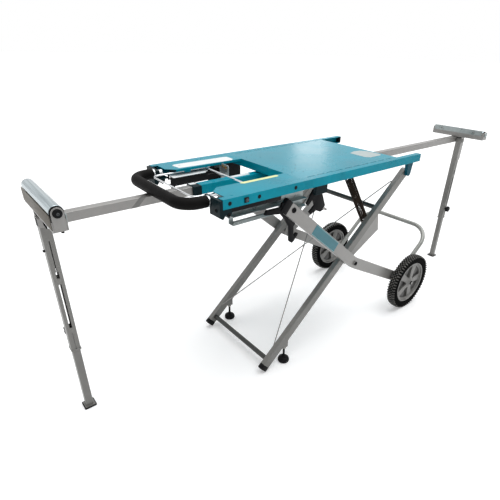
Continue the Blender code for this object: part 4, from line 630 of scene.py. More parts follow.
def bent(points, corner, steps):
    """The points joined by straight runs, each inner corner turned on a radius."""
    path = [Vector(points[0])]
    for before, here, after in zip(points, points[1:], points[2:]):
        here = Vector(here)
        back = (Vector(before) - here).normalized()
        on = (Vector(after) - here).normalized()
        half = back.angle(on) / 2
        middle = here + (back + on).normalized() * corner / sin(half)
        first = here + back * corner / tan(half) - middle
        last = here + on * corner / tan(half) - middle
        for step in range(steps + 1):
            path.append(middle + first.slerp(last, step / steps).normalized() * corner)
    path.append(Vector(points[-1]))
    return path


def tube(points, radius, roundness):
    """A round bar or tube along the points, closed at its ends."""
    curve = bpy.data.curves.new("tube", "CURVE")
    curve.dimensions = "3D"
    curve.bevel_depth = radius
    curve.bevel_resolution = roundness
    curve.use_fill_caps = True
    spline = curve.splines.new("POLY")
    spline.points.add(len(points) - 1)
    for point, place in zip(spline.points, points):
        point.co = (*place, 1.0)
    draft = bpy.data.objects.new("tube", curve)
    scene.collection.objects.link(draft)
    return cleaned(baked(draft))


def handle_line(end_x):
    """The middle line of the handle, from one cap round to the other."""
    return bent([(end_x, -HANDLE_Y, HANDLE_Z), (HANDLE_FRONT_X, -HANDLE_Y, HANDLE_Z),
                 (HANDLE_FRONT_X, HANDLE_Y, HANDLE_Z), (end_x, HANDLE_Y, HANDLE_Z)],
                HANDLE_CORNER, 20)


fitted("handle_steel", tube(handle_line(HANDLE_END_X), HANDLE_RADIUS, 8), BRIGHT_STEEL,
       "deck", "handle_tube")
fitted("foam_grip", eased(tube(handle_line(GRIP_END_X), GRIP_RADIUS, 12), 0.0025, 3,
                          radians(50)), FOAM, "deck", "handle_grip", crease=60.0)
COLLAR_PROFILE = [(0.0128, 0.0), (0.0172, 0.0), (0.0186, 0.0012), (0.0186, 0.0060),
                  (0.0172, 0.0074), (0.0128, 0.0074), (0.0128, 0.0)]
for word, side in SIDES:
    fitted(word + "_handle_collar",
           turned(COLLAR_PROFILE, (GRIP_END_X + 0.0004, side * HANDLE_Y, HANDLE_Z),
                  (1, 0, 0)), BRIGHT_STEEL, "deck")


# Sleeves, channels and clamps: the arms run in teal square tubes bolted under the deck. A
# dark moulded block at each mouth takes a black clamp screw with a small waisted lever.

dress(TEAL, "front_cross_channel", "rear_cross_channel", "front_arm_sleeve",
      "rear_arm_sleeve")
# The fold brackets take a darker copy of the teal paint: painted shade.
TEAL_PAINTED_SHADE = surface("fold_bracket_painted_shade", ((4, 76, 92), (8, 88, 106)), (0.26, 0.36),
                      patches=7.0, grain=1100.0, depth=0.00005, edge_wear_and_highlight=(90, 160, 176),
                      lustre=0.09)
dress(TEAL_PAINTED_SHADE, "near_fold_bracket", "far_fold_bracket")
ARM_Z = 0.7905
SLEEVE_TOP = 0.809
ON_SLEEVE = (0, 0, SLEEVE_TOP + 0.0002)
FILM_CORNER = 0.003
SLEEVE_FILM = panel(0.084, 0.021, FILM_CORNER, middle=(-0.440, 0.039))
BLOCK_FILM = panel(0.026, 0.020, FILM_CORNER, middle=(-0.6523, 0.050))
fitted("bare_sleeve_films", together(plate([SLEEVE_FILM], FILM, "XY", ON_SLEEVE),
                                     plate([BLOCK_FILM], FILM, "XY", ON_SLEEVE)),
       WHITE_FILM, "deck")

FRONT_SCREW_PLACE = (-0.6523, 0.0618, ARM_Z)
REAR_SCREW_PLACE = (0.2368, -0.008, 0.8093)
CLAMP_STUB = [(0.0, 0.0165), (0.0052, 0.0165), (0.0062, 0.0150), (0.0062, 0.0095),
              (0.0045, 0.0085), (0.0045, 0.0), (0.0, 0.0)]
CLAMP_BLADE = [(-0.006, -0.0045), (0.004, -0.0050), (0.024, -0.0032), (0.0275, 0.0),
               (0.024, 0.0032), (0.004, 0.0050), (-0.006, 0.0045)]
BLADE_THICKNESS = 0.0048
BLADE_HEIGHT = 0.0125


def clamp_screw(place, axis, way):
    """A stub screw with a waisted lever across its head, pointing this way."""
    stub = turned(CLAMP_STUB, place, axis, 28)
    blade = plate([CLAMP_BLADE], BLADE_THICKNESS, "XY", (0, 0, 0), 0.0012)
    blade.transform(standing(Vector(place) + Vector(axis) * BLADE_HEIGHT, axis)
                    @ Matrix.Scale(way, 4, (1, 0, 0)))
    return cleaned(together(stub, blade))


fitted("front_clamp_screw", clamp_screw(FRONT_SCREW_PLACE, (0, 1, 0), -1), BLACK,
       "front_arm_clamp_body", "front_arm_clamp")
fitted("rear_clamp_screw", clamp_screw(REAR_SCREW_PLACE, (0, 0, 1), 1), BLACK,
       "rear_arm_clamp_body", "rear_arm_clamp")


# The arms and support legs: square steel tubes in silver paint. The outer leg is slotted for
# the screw of the inner one, and a lobed knob clamps them. Each leg has a black cap on top,
# a thin collar below and a rubber shoe.

SILVER = surface("silver_paint", ((126, 124, 121), (140, 138, 135)), (0.26, 0.36), 0.1,
                 patches=5.0, grain=2200.0, depth=0.00003, edge=0.0014,
                 edge_wear_and_highlight=(206, 206, 204), bending=1.85)
# A darker copy of the silver paint for the legs: painted shade.
SILVER_PAINTED_SHADE = surface("silver_paint_painted_shade", ((112, 111, 108), (126, 125, 122)),
                      (0.3, 0.4), 0.3, patches=5.0, grain=2200.0, depth=0.00003,
                      edge=0.0014, edge_wear_and_highlight=(196, 196, 194))
dress(SILVER, "front_arm_tube", "rear_arm_tube", "near_wheel_leg", "far_wheel_leg")
dress(SILVER_PAINTED_SHADE, "front_leg_tube", "rear_leg_tube", "front_inner_leg", "rear_inner_leg",
      "near_foot_leg", "far_foot_leg")
SUPPORT_X = 1.164
ARM_Y = {"front": 0.036, "rear": -0.008}
LEG_Y = {"front": 0.0703, "rear": -0.0423}
ENDS = (("front", -1), ("rear", 1))
KNOB_Z = 0.349
KNOB_LOBES = 5
LOBE_STEPS = 16
LOBE_SHARE = 0.13
KNOB_RADIUS = 0.0165
KNOB_DEPTH = 0.0140
KNOB_MIDDLE = 0.0145
KNOB_NECK = [(0.0, 0.0085), (0.0082, 0.0085), (0.0078, 0.0), (0.0, 0.0)]
KNOB_CAP = [(0.0, 0.0224), (0.0050, 0.0222), (0.0064, 0.0212), (0.0, 0.0212)]


def lobed_knob(place, way):
    """A star knob with eased lobes, a domed face and a round neck."""
    outline = []
    for step in range(KNOB_LOBES * LOBE_STEPS):
        turn = 2 * pi * step / (KNOB_LOBES * LOBE_STEPS)
        radius = KNOB_RADIUS * (1 + LOBE_SHARE * cos(KNOB_LOBES * turn))
        outline.append((radius * cos(turn), radius * sin(turn)))
    star = plate([outline], KNOB_DEPTH, "XY", (0, 0, KNOB_MIDDLE))
    star = eased(star, 0.0022, 3, radians(60))
    neck = turned(KNOB_NECK, (0, 0, 0), UPWARDS, 28)
    cap = turned(KNOB_CAP, (0, 0, 0), UPWARDS, 28)
    knob = together(star, neck, cap)
    knob.transform(standing(place, (0, way, 0)))
    return cleaned(knob)


KNOB_FACE = 0.0163
TUBE_CORNER = 0.0026
ARM_PLUG = 0.0274
ARM_PLUG_IN = 0.0030
ARM_PLUG_FLANGE = 0.0016
ARM_PLUG_CORE = (0.0080, 0.0224, 0.0224)
LEG_CAP = 0.0316
LEG_CAP_DEPTH = 0.0018
COLLAR = 0.0340
COLLAR_WALL = 0.0008
COLLAR_HEIGHT = 0.0080
COLLAR_OUT = 0.0165
STOP_PIN = [(0.0, 0.0060), (0.0034, 0.0056), (0.0042, 0.0040), (0.0042, 0.0), (0.0, 0.0)]
STOP_PIN_Z = 0.680
STOP_PIN_OUT = 0.0161
SHOE = 0.0458
SHOE_CORNER = 0.0045
SHOE_DEPTH = 0.0052
for word, end in ENDS:
    leg_x, leg_y = end * SUPPORT_X, LEG_Y[word]
    outward = -end
    fitted(word + "_star_knob",
           lobed_knob((leg_x, leg_y + outward * KNOB_FACE, KNOB_Z), outward),
           BLACK, word + "_leg_knob_body", word + "_leg_knob")
    low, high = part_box(word + "_arm_tube")
    outer_x = high.x if end > 0 else low.x
    plug_x = outer_x - end * ARM_PLUG_IN
    flange = plate([panel(ARM_PLUG, ARM_PLUG, TUBE_CORNER)], ARM_PLUG_FLANGE, "YZ",
                   (plug_x + end * ARM_PLUG_FLANGE / 2, ARM_Y[word], ARM_Z), 0.0005)
    core = block(ARM_PLUG_CORE, (plug_x - end * ARM_PLUG_CORE[0] / 2, ARM_Y[word], ARM_Z))
    fitted(word + "_arm_plug", together(flange, core), BLACK, word + "_arm")
    leg_low, leg_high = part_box(word + "_leg_tube")
    cap = plate([panel(LEG_CAP, LEG_CAP, TUBE_CORNER)], LEG_CAP_DEPTH, "XY",
                (leg_x, leg_y, leg_high.z + LEG_CAP_DEPTH / 2), 0.0005)
    fitted(word + "_leg_cap", cap, BLACK, word + "_leg")
    collar_z = leg_low.z + COLLAR_HEIGHT / 2
    walls = []
    for way in (-1, 1):
        walls.append(block((COLLAR, COLLAR_WALL, COLLAR_HEIGHT),
                           (leg_x, leg_y + way * COLLAR_OUT, collar_z), 0.0002))
        walls.append(block((COLLAR_WALL, COLLAR, COLLAR_HEIGHT),
                           (leg_x + way * COLLAR_OUT, leg_y, collar_z), 0.0002))
    # The collars take the darker silver too: painted shade.
    fitted(word + "_leg_collar", together(*walls), SILVER_PAINTED_SHADE, word + "_leg")
    pin_x = end * (SUPPORT_X + STOP_PIN_OUT)
    pin = turned(STOP_PIN, (pin_x, leg_y, STOP_PIN_Z), (end, 0, 0), 24)
    fitted(word + "_stop_pin", pin, BLACK, word + "_leg")
    shoe = plate([panel(SHOE, SHOE, SHOE_CORNER)], SHOE_DEPTH, "XY",
                 (leg_x, leg_y, SHOE_DEPTH / 2), 0.0010)
    fitted(word + "_rubber_shoe", shoe, BLACK, word + "_inner_leg_body")


# The front arm's trim: a grey band across its side and top, painted shadow of the handle, and
# near its outer end a dark slot in the near face with a bright steel tab.

ARM_SIDE_SHADOW = [(-0.9060, 0.7749), (-0.8800, 0.7749), (-0.8470, 0.8061),
                 (-0.8720, 0.8061)]
ARM_TOP_SHADOW = [(-0.8720, 0.0202), (-0.8470, 0.0202), (-0.8150, 0.0518), (-0.8400, 0.0518)]
ARM_SHADOW_THICKNESS = 0.0001
ARM_SHADOW_OUT = 0.01607
# The grey band on the arm is painted shadow of the handle.
ARM_PAINTED_SHADOW = surface("arm_painted_shadow", ((104, 103, 101), (118, 117, 115)), (0.28, 0.4),
                    0.3, patches=30.0, grain=500.0, depth=0.00002)
arm_side_shadow = plate([ARM_SIDE_SHADOW], ARM_SHADOW_THICKNESS, "XZ", (0, ARM_Y["front"] - ARM_SHADOW_OUT, 0))
arm_top_shadow = plate([ARM_TOP_SHADOW], ARM_SHADOW_THICKNESS, "XY", (0, 0, ARM_Z + ARM_SHADOW_OUT))
fitted("front_arm_film", together(arm_side_shadow, arm_top_shadow), ARM_PAINTED_SHADOW, "front_arm")
ARM_FACE_Y = ARM_Y["front"] - 0.0162
END_TAB_OUT = 0.0004
END_SLOT = [(-1.1740, 0.7985), (-1.1705, 0.8040), (-1.1672, 0.7965), (-1.1655, 0.7700),
            (-1.1680, 0.7682), (-1.1735, 0.7830)]
END_TAB = [(-1.1660, 0.7990), (-1.1627, 0.7947), (-1.1576, 0.7700), (-1.1650, 0.7685)]
# The slot is a black sheet on the face: painted shade for its dark inside.
fitted("front_arm_end_slot", plate([END_SLOT], 0.0003, "XZ", (0, ARM_FACE_Y, 0)), BLACK,
       "front_arm")
fitted("front_arm_end_tab",
       plate([END_TAB], 0.0012, "XZ", (0, ARM_FACE_Y - END_TAB_OUT, 0)), BRIGHT_STEEL,
       "front_arm")


# Roller heads: a painted steel channel with end plates, a free-running plated roller on
# black end caps, and on the inner side the flat plated stop plate with its two holes. On the
# front head's outer side a thin darker sheet is painted shade, and a bolt sits below.

ZINC = surface("zinc_plate", ((136, 144, 144), (160, 168, 168)), (0.24, 0.38), 0.6,
               patches=26.0, grain=260.0, depth=0.00002, edge=0.0008,
               edge_wear_and_highlight=(210, 214, 216))
# The roller's wide dark and light streaks along its length are partly brushed tone, partly
# painted reflection.
ROLLER_STEEL_PAINTED_STREAKS = surface("roller_plate_painted_reflection", ((104, 116, 122), (200, 212, 216)), (0.12, 0.24),
                       0.92, patches=70.0, grain=160.0, depth=0.00002,
                       stretch=(1.0, 0.02, 1.0), edge=0.001)
dress(ZINC, "front_stop_plate", "rear_stop_plate")
dress(SILVER, "front_head_bracket", "rear_head_bracket")
# A darker sheet on the front head's outer face: painted shade.
HEAD_SIDE_PAINTED_SHADE = surface("head_side_painted_shade", ((100, 96, 88), (112, 107, 99)), (0.4, 0.52), patches=6.0,
                     grain=2200.0, depth=0.00003, lustre=0.3, bending=1.2)
HEAD_Y = {"front": 0.008, "rear": -0.027}
HEAD_SHADE_SHEET = (0.0013, 0.3120, 0.0420)
HEAD_SHADE_SHEET_PLACE = (-1.1848, HEAD_Y["front"], 0.8450)
UNDER_BOLT = [(0.0, 0.0052), (0.0032, 0.0052), (0.0042, 0.0042), (0.0042, 0.0), (0.0, 0.0)]
UNDER_BOLT_PLACE = (-1.1600, -0.1460, 0.8179)
fitted("front_head_lip", block(HEAD_SHADE_SHEET, HEAD_SHADE_SHEET_PLACE, 0.0004), HEAD_SIDE_PAINTED_SHADE, "front_arm")
fitted("front_head_bolt", turned(UNDER_BOLT, UNDER_BOLT_PLACE, (0, 0, -1), 24), BLACK,
       "front_arm")
AXLE_Z = {"front": 0.869, "rear": 0.8375}
HEAD_HALF = 0.158
ROLLER_RADIUS = 0.0194
SHELL_HALF = 0.148
SHELL_BORE = 0.0160
SHELL_EASE = 0.0010
AXLE_HALF = 0.1640
SHELL = [(SHELL_BORE, SHELL_HALF), (ROLLER_RADIUS - SHELL_EASE, SHELL_HALF),
         (ROLLER_RADIUS, SHELL_HALF - SHELL_EASE), (ROLLER_RADIUS, 0.0),
         (ROLLER_RADIUS, SHELL_EASE - SHELL_HALF), (ROLLER_RADIUS - SHELL_EASE, -SHELL_HALF),
         (SHELL_BORE, -SHELL_HALF), (SHELL_BORE, SHELL_HALF)]
ROLLER_END = [(0.0, 0.0040), (0.0070, 0.0040), (0.0082, 0.0026), (0.0140, 0.0026),
              (0.0152, 0.0041), (0.0176, 0.0041), (0.0188, 0.0030), (0.0188, 0.0),
              (0.0, 0.0)]
ROLLER_AXLE = [(0.0, AXLE_HALF), (0.0036, AXLE_HALF), (0.0039, AXLE_HALF - 0.0010),
               (0.0039, 0.0010 - AXLE_HALF), (0.0036, -AXLE_HALF), (0.0, -AXLE_HALF)]
AXLE_CAP = [(0.0042, 0.0058), (0.0092, 0.0058), (0.0116, 0.0044), (0.0126, 0.0014),
            (0.0126, 0.0), (0.0042, 0.0), (0.0042, 0.0058)]
AXLE_SCREW_OUT = 0.1633
CAP_FINISH = {"front": BLACK, "rear": ZINC}
SCREW_FINISH = {"front": DARK_BOLT, "rear": ZINC}
BUTTON_SMALL = head_pattern("button_small", button_head(radius=0.0042, height=0.0024))
for word, end in ENDS:
    x, y, z = centre = (end * SUPPORT_X, HEAD_Y[word], AXLE_Z[word])
    body = word + "_roller_body"
    fitted(word + "_roller_shell", turned(SHELL, centre, (0, 1, 0), 64), ROLLER_STEEL_PAINTED_STREAKS,
           body, word + "_roller")
    ends = [turned(ROLLER_END, (x, y + side * (SHELL_HALF + 0.0002), z), (0, side, 0), 48)
            for side in (-1, 1)]
    axle = turned(ROLLER_AXLE, centre, (0, 1, 0), 24)
    fitted(word + "_roller_ends", together(axle, *ends), BLACK, body)
    caps = [turned(AXLE_CAP, (x, y + side * (HEAD_HALF + 0.0002), z), (0, side, 0), 40)
            for side in (-1, 1)]
    fitted(word + "_axle_caps", together(*caps), CAP_FINISH[word], body)
    fasten(word + "_axle_screws", BUTTON_SMALL, SCREW_FINISH[word], body,
           [((x, y + side * AXLE_SCREW_OUT, z), (0, side, 0)) for side in (-1, 1)])


# The slide tracks: folded steel channels under the side plates, with a slot in the web for
# the slider. The near one is zinc plated, and the far one is black: painted shade.

# Black for the far track: painted shade.
TRACK_PAINTED_SHADE = surface("far_track_painted_shade", ((13, 14, 15), (22, 23, 24)), (0.45, 0.6),
                      patches=12.0, grain=1400.0, depth=0.00004, lustre=0.15)
dress(ZINC, "near_slide_track")
dress(TRACK_PAINTED_SHADE, "far_slide_track")


# The release: a bent chrome wire bail at the handle draws a black rod through its barrel and
# frees the deck. A zinc plated plate with yellow passivated bolts stands beside it.

CHROME = surface("chrome_wire", ((214, 217, 220), (232, 234, 236)), (0.07, 0.14), 1.0,
                 patches=40.0, grain=200.0, depth=0.00001, edge=0.001)
BOLT_STEEL = surface("zinc_bolt", ((128, 126, 122), (158, 156, 152)), (0.22, 0.4), 0.9,
                     patches=60.0, grain=700.0, depth=0.00003, edge=0.0004)
BRONZE = surface("passivated_bolt", ((120, 92, 50), (158, 128, 78)), (0.24, 0.4), 0.9,
                 patches=60.0, grain=700.0, depth=0.00003, edge=0.0004)
BAIL_WIRE = 0.003
BAIL_CORNER = 0.022
BAIL_FRONT_X = -0.762
BAIL_REAR_X = -0.513
BAIL_BAR_X = -0.535
BAIL_Z = 0.8315
BAIL_HALF = 0.146
bail_line = bent([(BAIL_REAR_X, -BAIL_HALF, BAIL_Z), (BAIL_FRONT_X, -BAIL_HALF, BAIL_Z),
                  (BAIL_FRONT_X, BAIL_HALF, BAIL_Z), (BAIL_REAR_X, BAIL_HALF, BAIL_Z)],
                 BAIL_CORNER, 10)
bail_bar = [(BAIL_BAR_X, -BAIL_HALF, BAIL_Z), (BAIL_BAR_X, BAIL_HALF, BAIL_Z)]
fitted("bail", together(tube(bail_line, BAIL_WIRE, 5), tube(bail_bar, BAIL_WIRE, 5)),
       CHROME, "release_body", "release_bail")
ROD_Z = 0.811
ROD_FRONT_X = -0.700
ROD_REAR_X = -0.498
ROD_TAB = (0.006, 0.0034, 0.0205)
ROD_TAB_PLACE = (-0.697, BAIL_HALF, 0.8213)
rod_line = [(ROD_FRONT_X, BAIL_HALF, ROD_Z), (ROD_REAR_X, BAIL_HALF, ROD_Z)]
rod_tab = block(ROD_TAB, ROD_TAB_PLACE)
fitted("draw_rod", together(tube(rod_line, BAIL_WIRE, 5), rod_tab), BLACK, "release_body")
BARREL_X = -0.530
BARREL = [(0.0036, 0.0), (0.0085, 0.0), (0.0100, 0.0012), (0.0100, 0.0420),
          (0.0088, 0.0440), (0.0088, 0.0590), (0.0, 0.0590), (0.0, 0.0300),
          (0.0036, 0.0300), (0.0036, 0.0)]
fitted("release_barrel", turned(BARREL, (BARREL_X, BAIL_HALF, ROD_Z), (1, 0, 0)),
       BLACK, "deck", "release_housing")
HANGER = (0.004, 0.0402, 0.0517)
HANGER_PLACE = (-0.468, 0.159, 0.81685)
fitted("release_hanger", block(HANGER, HANGER_PLACE, 0.0005), ZINC, "deck")
HANGER_BOLTS = ((0.168, 0.828), (0.168, 0.806))
fasten("release_bolts", HEX_SMALL, BOLT_STEEL, "deck",
       [((HANGER_PLACE[0] - HANGER[0] / 2, y, z), (-1, 0, 0)) for y, z in HANGER_BOLTS])
MECHANISM_X = -0.4665
MECHANISM_THICKNESS = 0.0026
MECHANISM_OUTLINE = [(0.0790, 0.7620), (0.1370, 0.7620), (0.1370, 0.8250),
                     (0.1290, 0.8420), (0.0870, 0.8420), (0.0790, 0.8340)]
fitted("mechanism_plate", plate([MECHANISM_OUTLINE], MECHANISM_THICKNESS, "YZ",
                                (MECHANISM_X, 0, 0), 0.0005), ZINC, "deck")
MECHANISM_BOLTS = ((0.1176, 0.8330), (0.0990, 0.8300))
fasten("mechanism_bolts", HEX_SMALL, BRONZE, "deck",
       [((MECHANISM_X - MECHANISM_THICKNESS / 2, y, z), (-1, 0, 0))
        for y, z in MECHANISM_BOLTS])


# The lift spring: one long coil of oiled black wire between the underside of the deck and the
# near gusset, its coppery patches painted highlights. It shortens as the deck folds.

# The coppery tone in patches on the black wire is painted highlight.
SPRING_WIRE_PAINTED_GLINTS = surface("spring_wire_painted_highlights", ((22, 18, 16), (50, 37, 28)), (0.5, 0.65), 0.1,
                      patches=34.0, grain=300.0, depth=0.00002, lustre=0.12)
SPRING_TOP = Vector((-0.036, -0.177, 0.790))
SPRING_FOOT = Vector((0.133, -0.177, 0.541))
SPRING_TURNS = 33
STEPS_A_TURN = 24
COIL_RADIUS = 0.016
SPRING_WIRE_RADIUS = 0.0027
SPRING_TAIL = 0.0048
SEAT_GAP = 0.0003
coil_way = (SPRING_FOOT - SPRING_TOP).normalized()
coil_side = Vector((0, 1, 0))
coil_third = coil_way.cross(coil_side)
coil_length = (SPRING_FOOT - SPRING_TOP).length - 2 * SEAT_GAP
pitch = (coil_length - 2 * SPRING_TAIL) / SPRING_TURNS
coil = []
for step in range(SPRING_TURNS * STEPS_A_TURN + 1):
    turn = 2 * pi * step / STEPS_A_TURN
    along = SEAT_GAP + SPRING_TAIL + pitch * step / STEPS_A_TURN
    coil.append(SPRING_TOP + coil_way * along + coil_side * COIL_RADIUS * cos(turn)
                + coil_third * COIL_RADIUS * sin(turn))
coil.insert(0, coil[0] - coil_way * SPRING_TAIL)
coil.append(coil[-1] + coil_way * SPRING_TAIL)
spring = fitted("lift_spring", tube(coil, SPRING_WIRE_RADIUS, 3), SPRING_WIRE_PAINTED_GLINTS, "deck",
                "assist_spring", crease=80.0)
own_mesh(spring)


# The catch: a forked black moulding under the near rail that holds the stand open. A sprung
# steel plunger stands out of its lower end.

CATCH_Y = -0.2095
FORK_THICKNESS = 0.0078
FORK_OUTLINE = [(-0.2780, 0.7860), (-0.2370, 0.7870), (-0.2170, 0.7400), (-0.2040, 0.7080),
                (-0.2130, 0.6900), (-0.2300, 0.6850), (-0.2550, 0.6960), (-0.2830, 0.6850),
                (-0.2950, 0.6970), (-0.2660, 0.7200), (-0.2780, 0.7460), (-0.3010, 0.7240),
                (-0.3120, 0.7350)]
fitted("catch_fork", plate([FORK_OUTLINE], FORK_THICKNESS, "XZ", (0, CATCH_Y, 0), 0.0016),
       BLACK, "catch_lever_body", "catch_lever")
PLUNGER_PLACE = (-0.2110, CATCH_Y, 0.6960)
PLUNGER_WAY = (0.88, 0, -0.47)
PLUNGER = [(0.0, 0.0225), (0.0036, 0.0220), (0.0042, 0.0200), (0.0042, 0.0120),
           (0.0030, 0.0115), (0.0030, 0.0085), (0.0050, 0.0080), (0.0050, -0.0060),
           (0.0, -0.0060)]
fitted("catch_plunger", turned(PLUNGER, PLUNGER_PLACE, PLUNGER_WAY, 28), BOLT_STEEL,
       "catch_lever_body")


# The foot frame: two silver legs hinged under the deck's rear end, joined by round cross
# tubes and two taut crossed wires with a clip. Black caps close their lower ends, and
# screwed feet level the stand.

FOOT_LEG_Y = 0.2125
FOLD_HINGE = Vector((0.325, 0.0, 0.760))
FOOT_END = Vector((-0.514, 0.0, 0.0185))
LEG_WAY = (FOLD_HINGE - FOOT_END).normalized()
LEG_OUT = Vector((-LEG_WAY.z, 0.0, LEG_WAY.x))
LEG_LENGTH = (FOLD_HINGE - FOOT_END).length
CROSS_TUBE = [(0.0, 0.1997), (0.0110, 0.1997), (0.0110, -0.1997), (0.0, -0.1997)]
UPPER_CROSS_AT = 0.218
LOWER_CROSS_AT = LEG_LENGTH - 0.046
WIRE_RADIUS = 0.0024
WIRE_HALF = 0.1982
WIRE_HIGH_AT = 0.075
WIRE_LOW_AT = LEG_LENGTH - 0.115
WIRE_OFFS = (0.0135, 0.0187)
WIRE_CLIP = [(0.0, 0.0044), (0.0040, 0.0044), (0.0050, 0.0036), (0.0050, -0.0036),
             (0.0040, -0.0044), (0.0, -0.0044)]
WIRE_CLIP_OFF = 0.0161
FOOT_X = -0.388
SCREW_FOOT = [(0.0, 0.0885), (0.0050, 0.0885), (0.0050, 0.0310), (0.0096, 0.0300),
              (0.0116, 0.0240), (0.0190, 0.0222), (0.0238, 0.0180), (0.0258, 0.0120),
              (0.0260, 0.0050), (0.0246, 0.0012), (0.0226, 0.0), (0.0, 0.0)]
LOCK_NUT = [(0.0050, 0.0045), (0.0088, 0.0045), (0.0095, 0.0036), (0.0095, -0.0036),
            (0.0088, -0.0045), (0.0050, -0.0045), (0.0050, 0.0045)]
LOCK_NUT_Z = 0.0755
FOOT_CAP = (0.0250, 0.0268, 0.0398)
FOOT_CAP_IN = 0.0095


def on_leg(along, y, off=0.0):
    """A place in the foot frame, by its distance down from the hinge."""
    place = FOLD_HINGE - LEG_WAY * along + LEG_OUT * off
    return Vector((place.x, y, place.z))


dress(SILVER, "near_gusset", "far_gusset")
DARK_BAR = surface("dark_bar_paint", ((52, 53, 52), (68, 69, 67)), (0.26, 0.38), 0.6,
                   patches=8.0, grain=2000.0, depth=0.00003, edge=0.001)
for name, along in (("upper_cross", UPPER_CROSS_AT), ("lower_cross", LOWER_CROSS_AT)):
    fitted(name, turned(CROSS_TUBE, on_leg(along, 0.0), (0, 1, 0), 40), DARK_BAR,
           "foot_frame", name + "_tube")
wires = [tube([on_leg(WIRE_LOW_AT, side * WIRE_HALF, off),
               on_leg(WIRE_HIGH_AT, -side * WIRE_HALF, off)], WIRE_RADIUS, 4)
         for side, off in zip((-1, 1), WIRE_OFFS)]
clip_place = on_leg((WIRE_LOW_AT + WIRE_HIGH_AT) / 2, 0.0, WIRE_CLIP_OFF)
clip = turned(WIRE_CLIP, clip_place, LEG_OUT, 32)
fitted("crossed_wires", together(clip, *wires), SILVER, "foot_frame", "brace_wires")

along_foot_leg = Matrix((LEG_WAY, (0.0, 1.0, 0.0), LEG_OUT)).transposed().to_4x4()
for word, side in SIDES:
    fitted(word + "_screw_foot",
           turned(SCREW_FOOT, (FOOT_X, side * FOOT_LEG_Y, 0), (0, 0, 1), 44), BLACK,
           word + "_levelling_foot_body", word + "_levelling_foot")
    nut = turned(LOCK_NUT, (FOOT_X, side * FOOT_LEG_Y, LOCK_NUT_Z), (0, 0, 1), 6)
    fitted(word + "_lock_nut", nut, BOLT_STEEL, "foot_frame", crease=20.0)
    foot_cap = block(FOOT_CAP, (FOOT_CAP_IN, 0.0, 0.0), 0.0040)
    foot_cap.transform(Matrix.Translation(on_leg(LEG_LENGTH, side * FOOT_LEG_Y))
                       @ along_foot_leg)
    fitted(word + "_foot_leg_plug", cleaned(foot_cap), BLACK, "foot_frame")


# The wheel frame: flat silver legs bent at the scissor bolt, black caps on their upper ends
# with the slider's rollers and bar between them, and a bare teal band with pale edge lines on
# each outer face. A bent steel tube makes the loop that it rests on when folded.

BAND_TEAL = surface("bare_teal_band", ((44, 108, 120), (54, 122, 134)), (0.3, 0.42),
                    patches=20.0, grain=500.0, depth=0.00002)
BAND_EDGE = surface("band_edge_line", ((120, 168, 174), (140, 186, 190)), (0.3, 0.42),
                    patches=20.0, grain=500.0, depth=0.00002)
SCISSOR = Vector((-0.004, 0.0, 0.396))
SLIDER = Vector((-0.430, 0.0, 0.750))
AXLE = Vector((0.448, 0.0, 0.154))
WHEEL_LEG_Y = 0.239
WHEEL_LEG_FACE = 0.249
BAND_NEAR_END = 0.190
BAND_FAR_END = 0.378
BAND_HALF = 0.0225
BAND_LINE_OUT = 0.0205
BAND_LINE_HALF = 0.0009
BAND_LIFT = 0.0003
SCISSOR_CAP_OUT = 0.0045
SLIDER_BOLT_X = -0.4110
SLIDER_BOLT_Z = 0.7420
UPPER_CAP = (0.0340, 0.0212, 0.0530)
UPPER_CAP_AT = 0.0192
ROLLER_Y = 0.2187
NYLON_ROLLER = [(0.0, 0.0099), (0.0098, 0.0099), (0.0109, 0.0088), (0.0109, -0.0088),
                (0.0098, -0.0099), (0.0, -0.0099)]
SLIDER_BAR = [(0.0, 0.2083), (0.0085, 0.2083), (0.0085, -0.2083), (0.0, -0.2083)]
BUTTON_LARGE = head_pattern("button_large", button_head(radius=0.0105, height=0.0058))
leg_up = (SLIDER - SCISSOR).normalized()
leg_across = Vector((leg_up.z, 0.0, -leg_up.x))


def on_wheel_leg(along, across):
    """A place on a wheel leg's face, by its distance up from the scissor bolt."""
    place = SCISSOR + leg_up * along + leg_across * across
    return place.x, place.z


def band_strip(low, high):
    """A part of the band's outline, as long as the band."""
    return [on_wheel_leg(BAND_NEAR_END, low), on_wheel_leg(BAND_FAR_END, low),
            on_wheel_leg(BAND_FAR_END, high), on_wheel_leg(BAND_NEAR_END, high)]


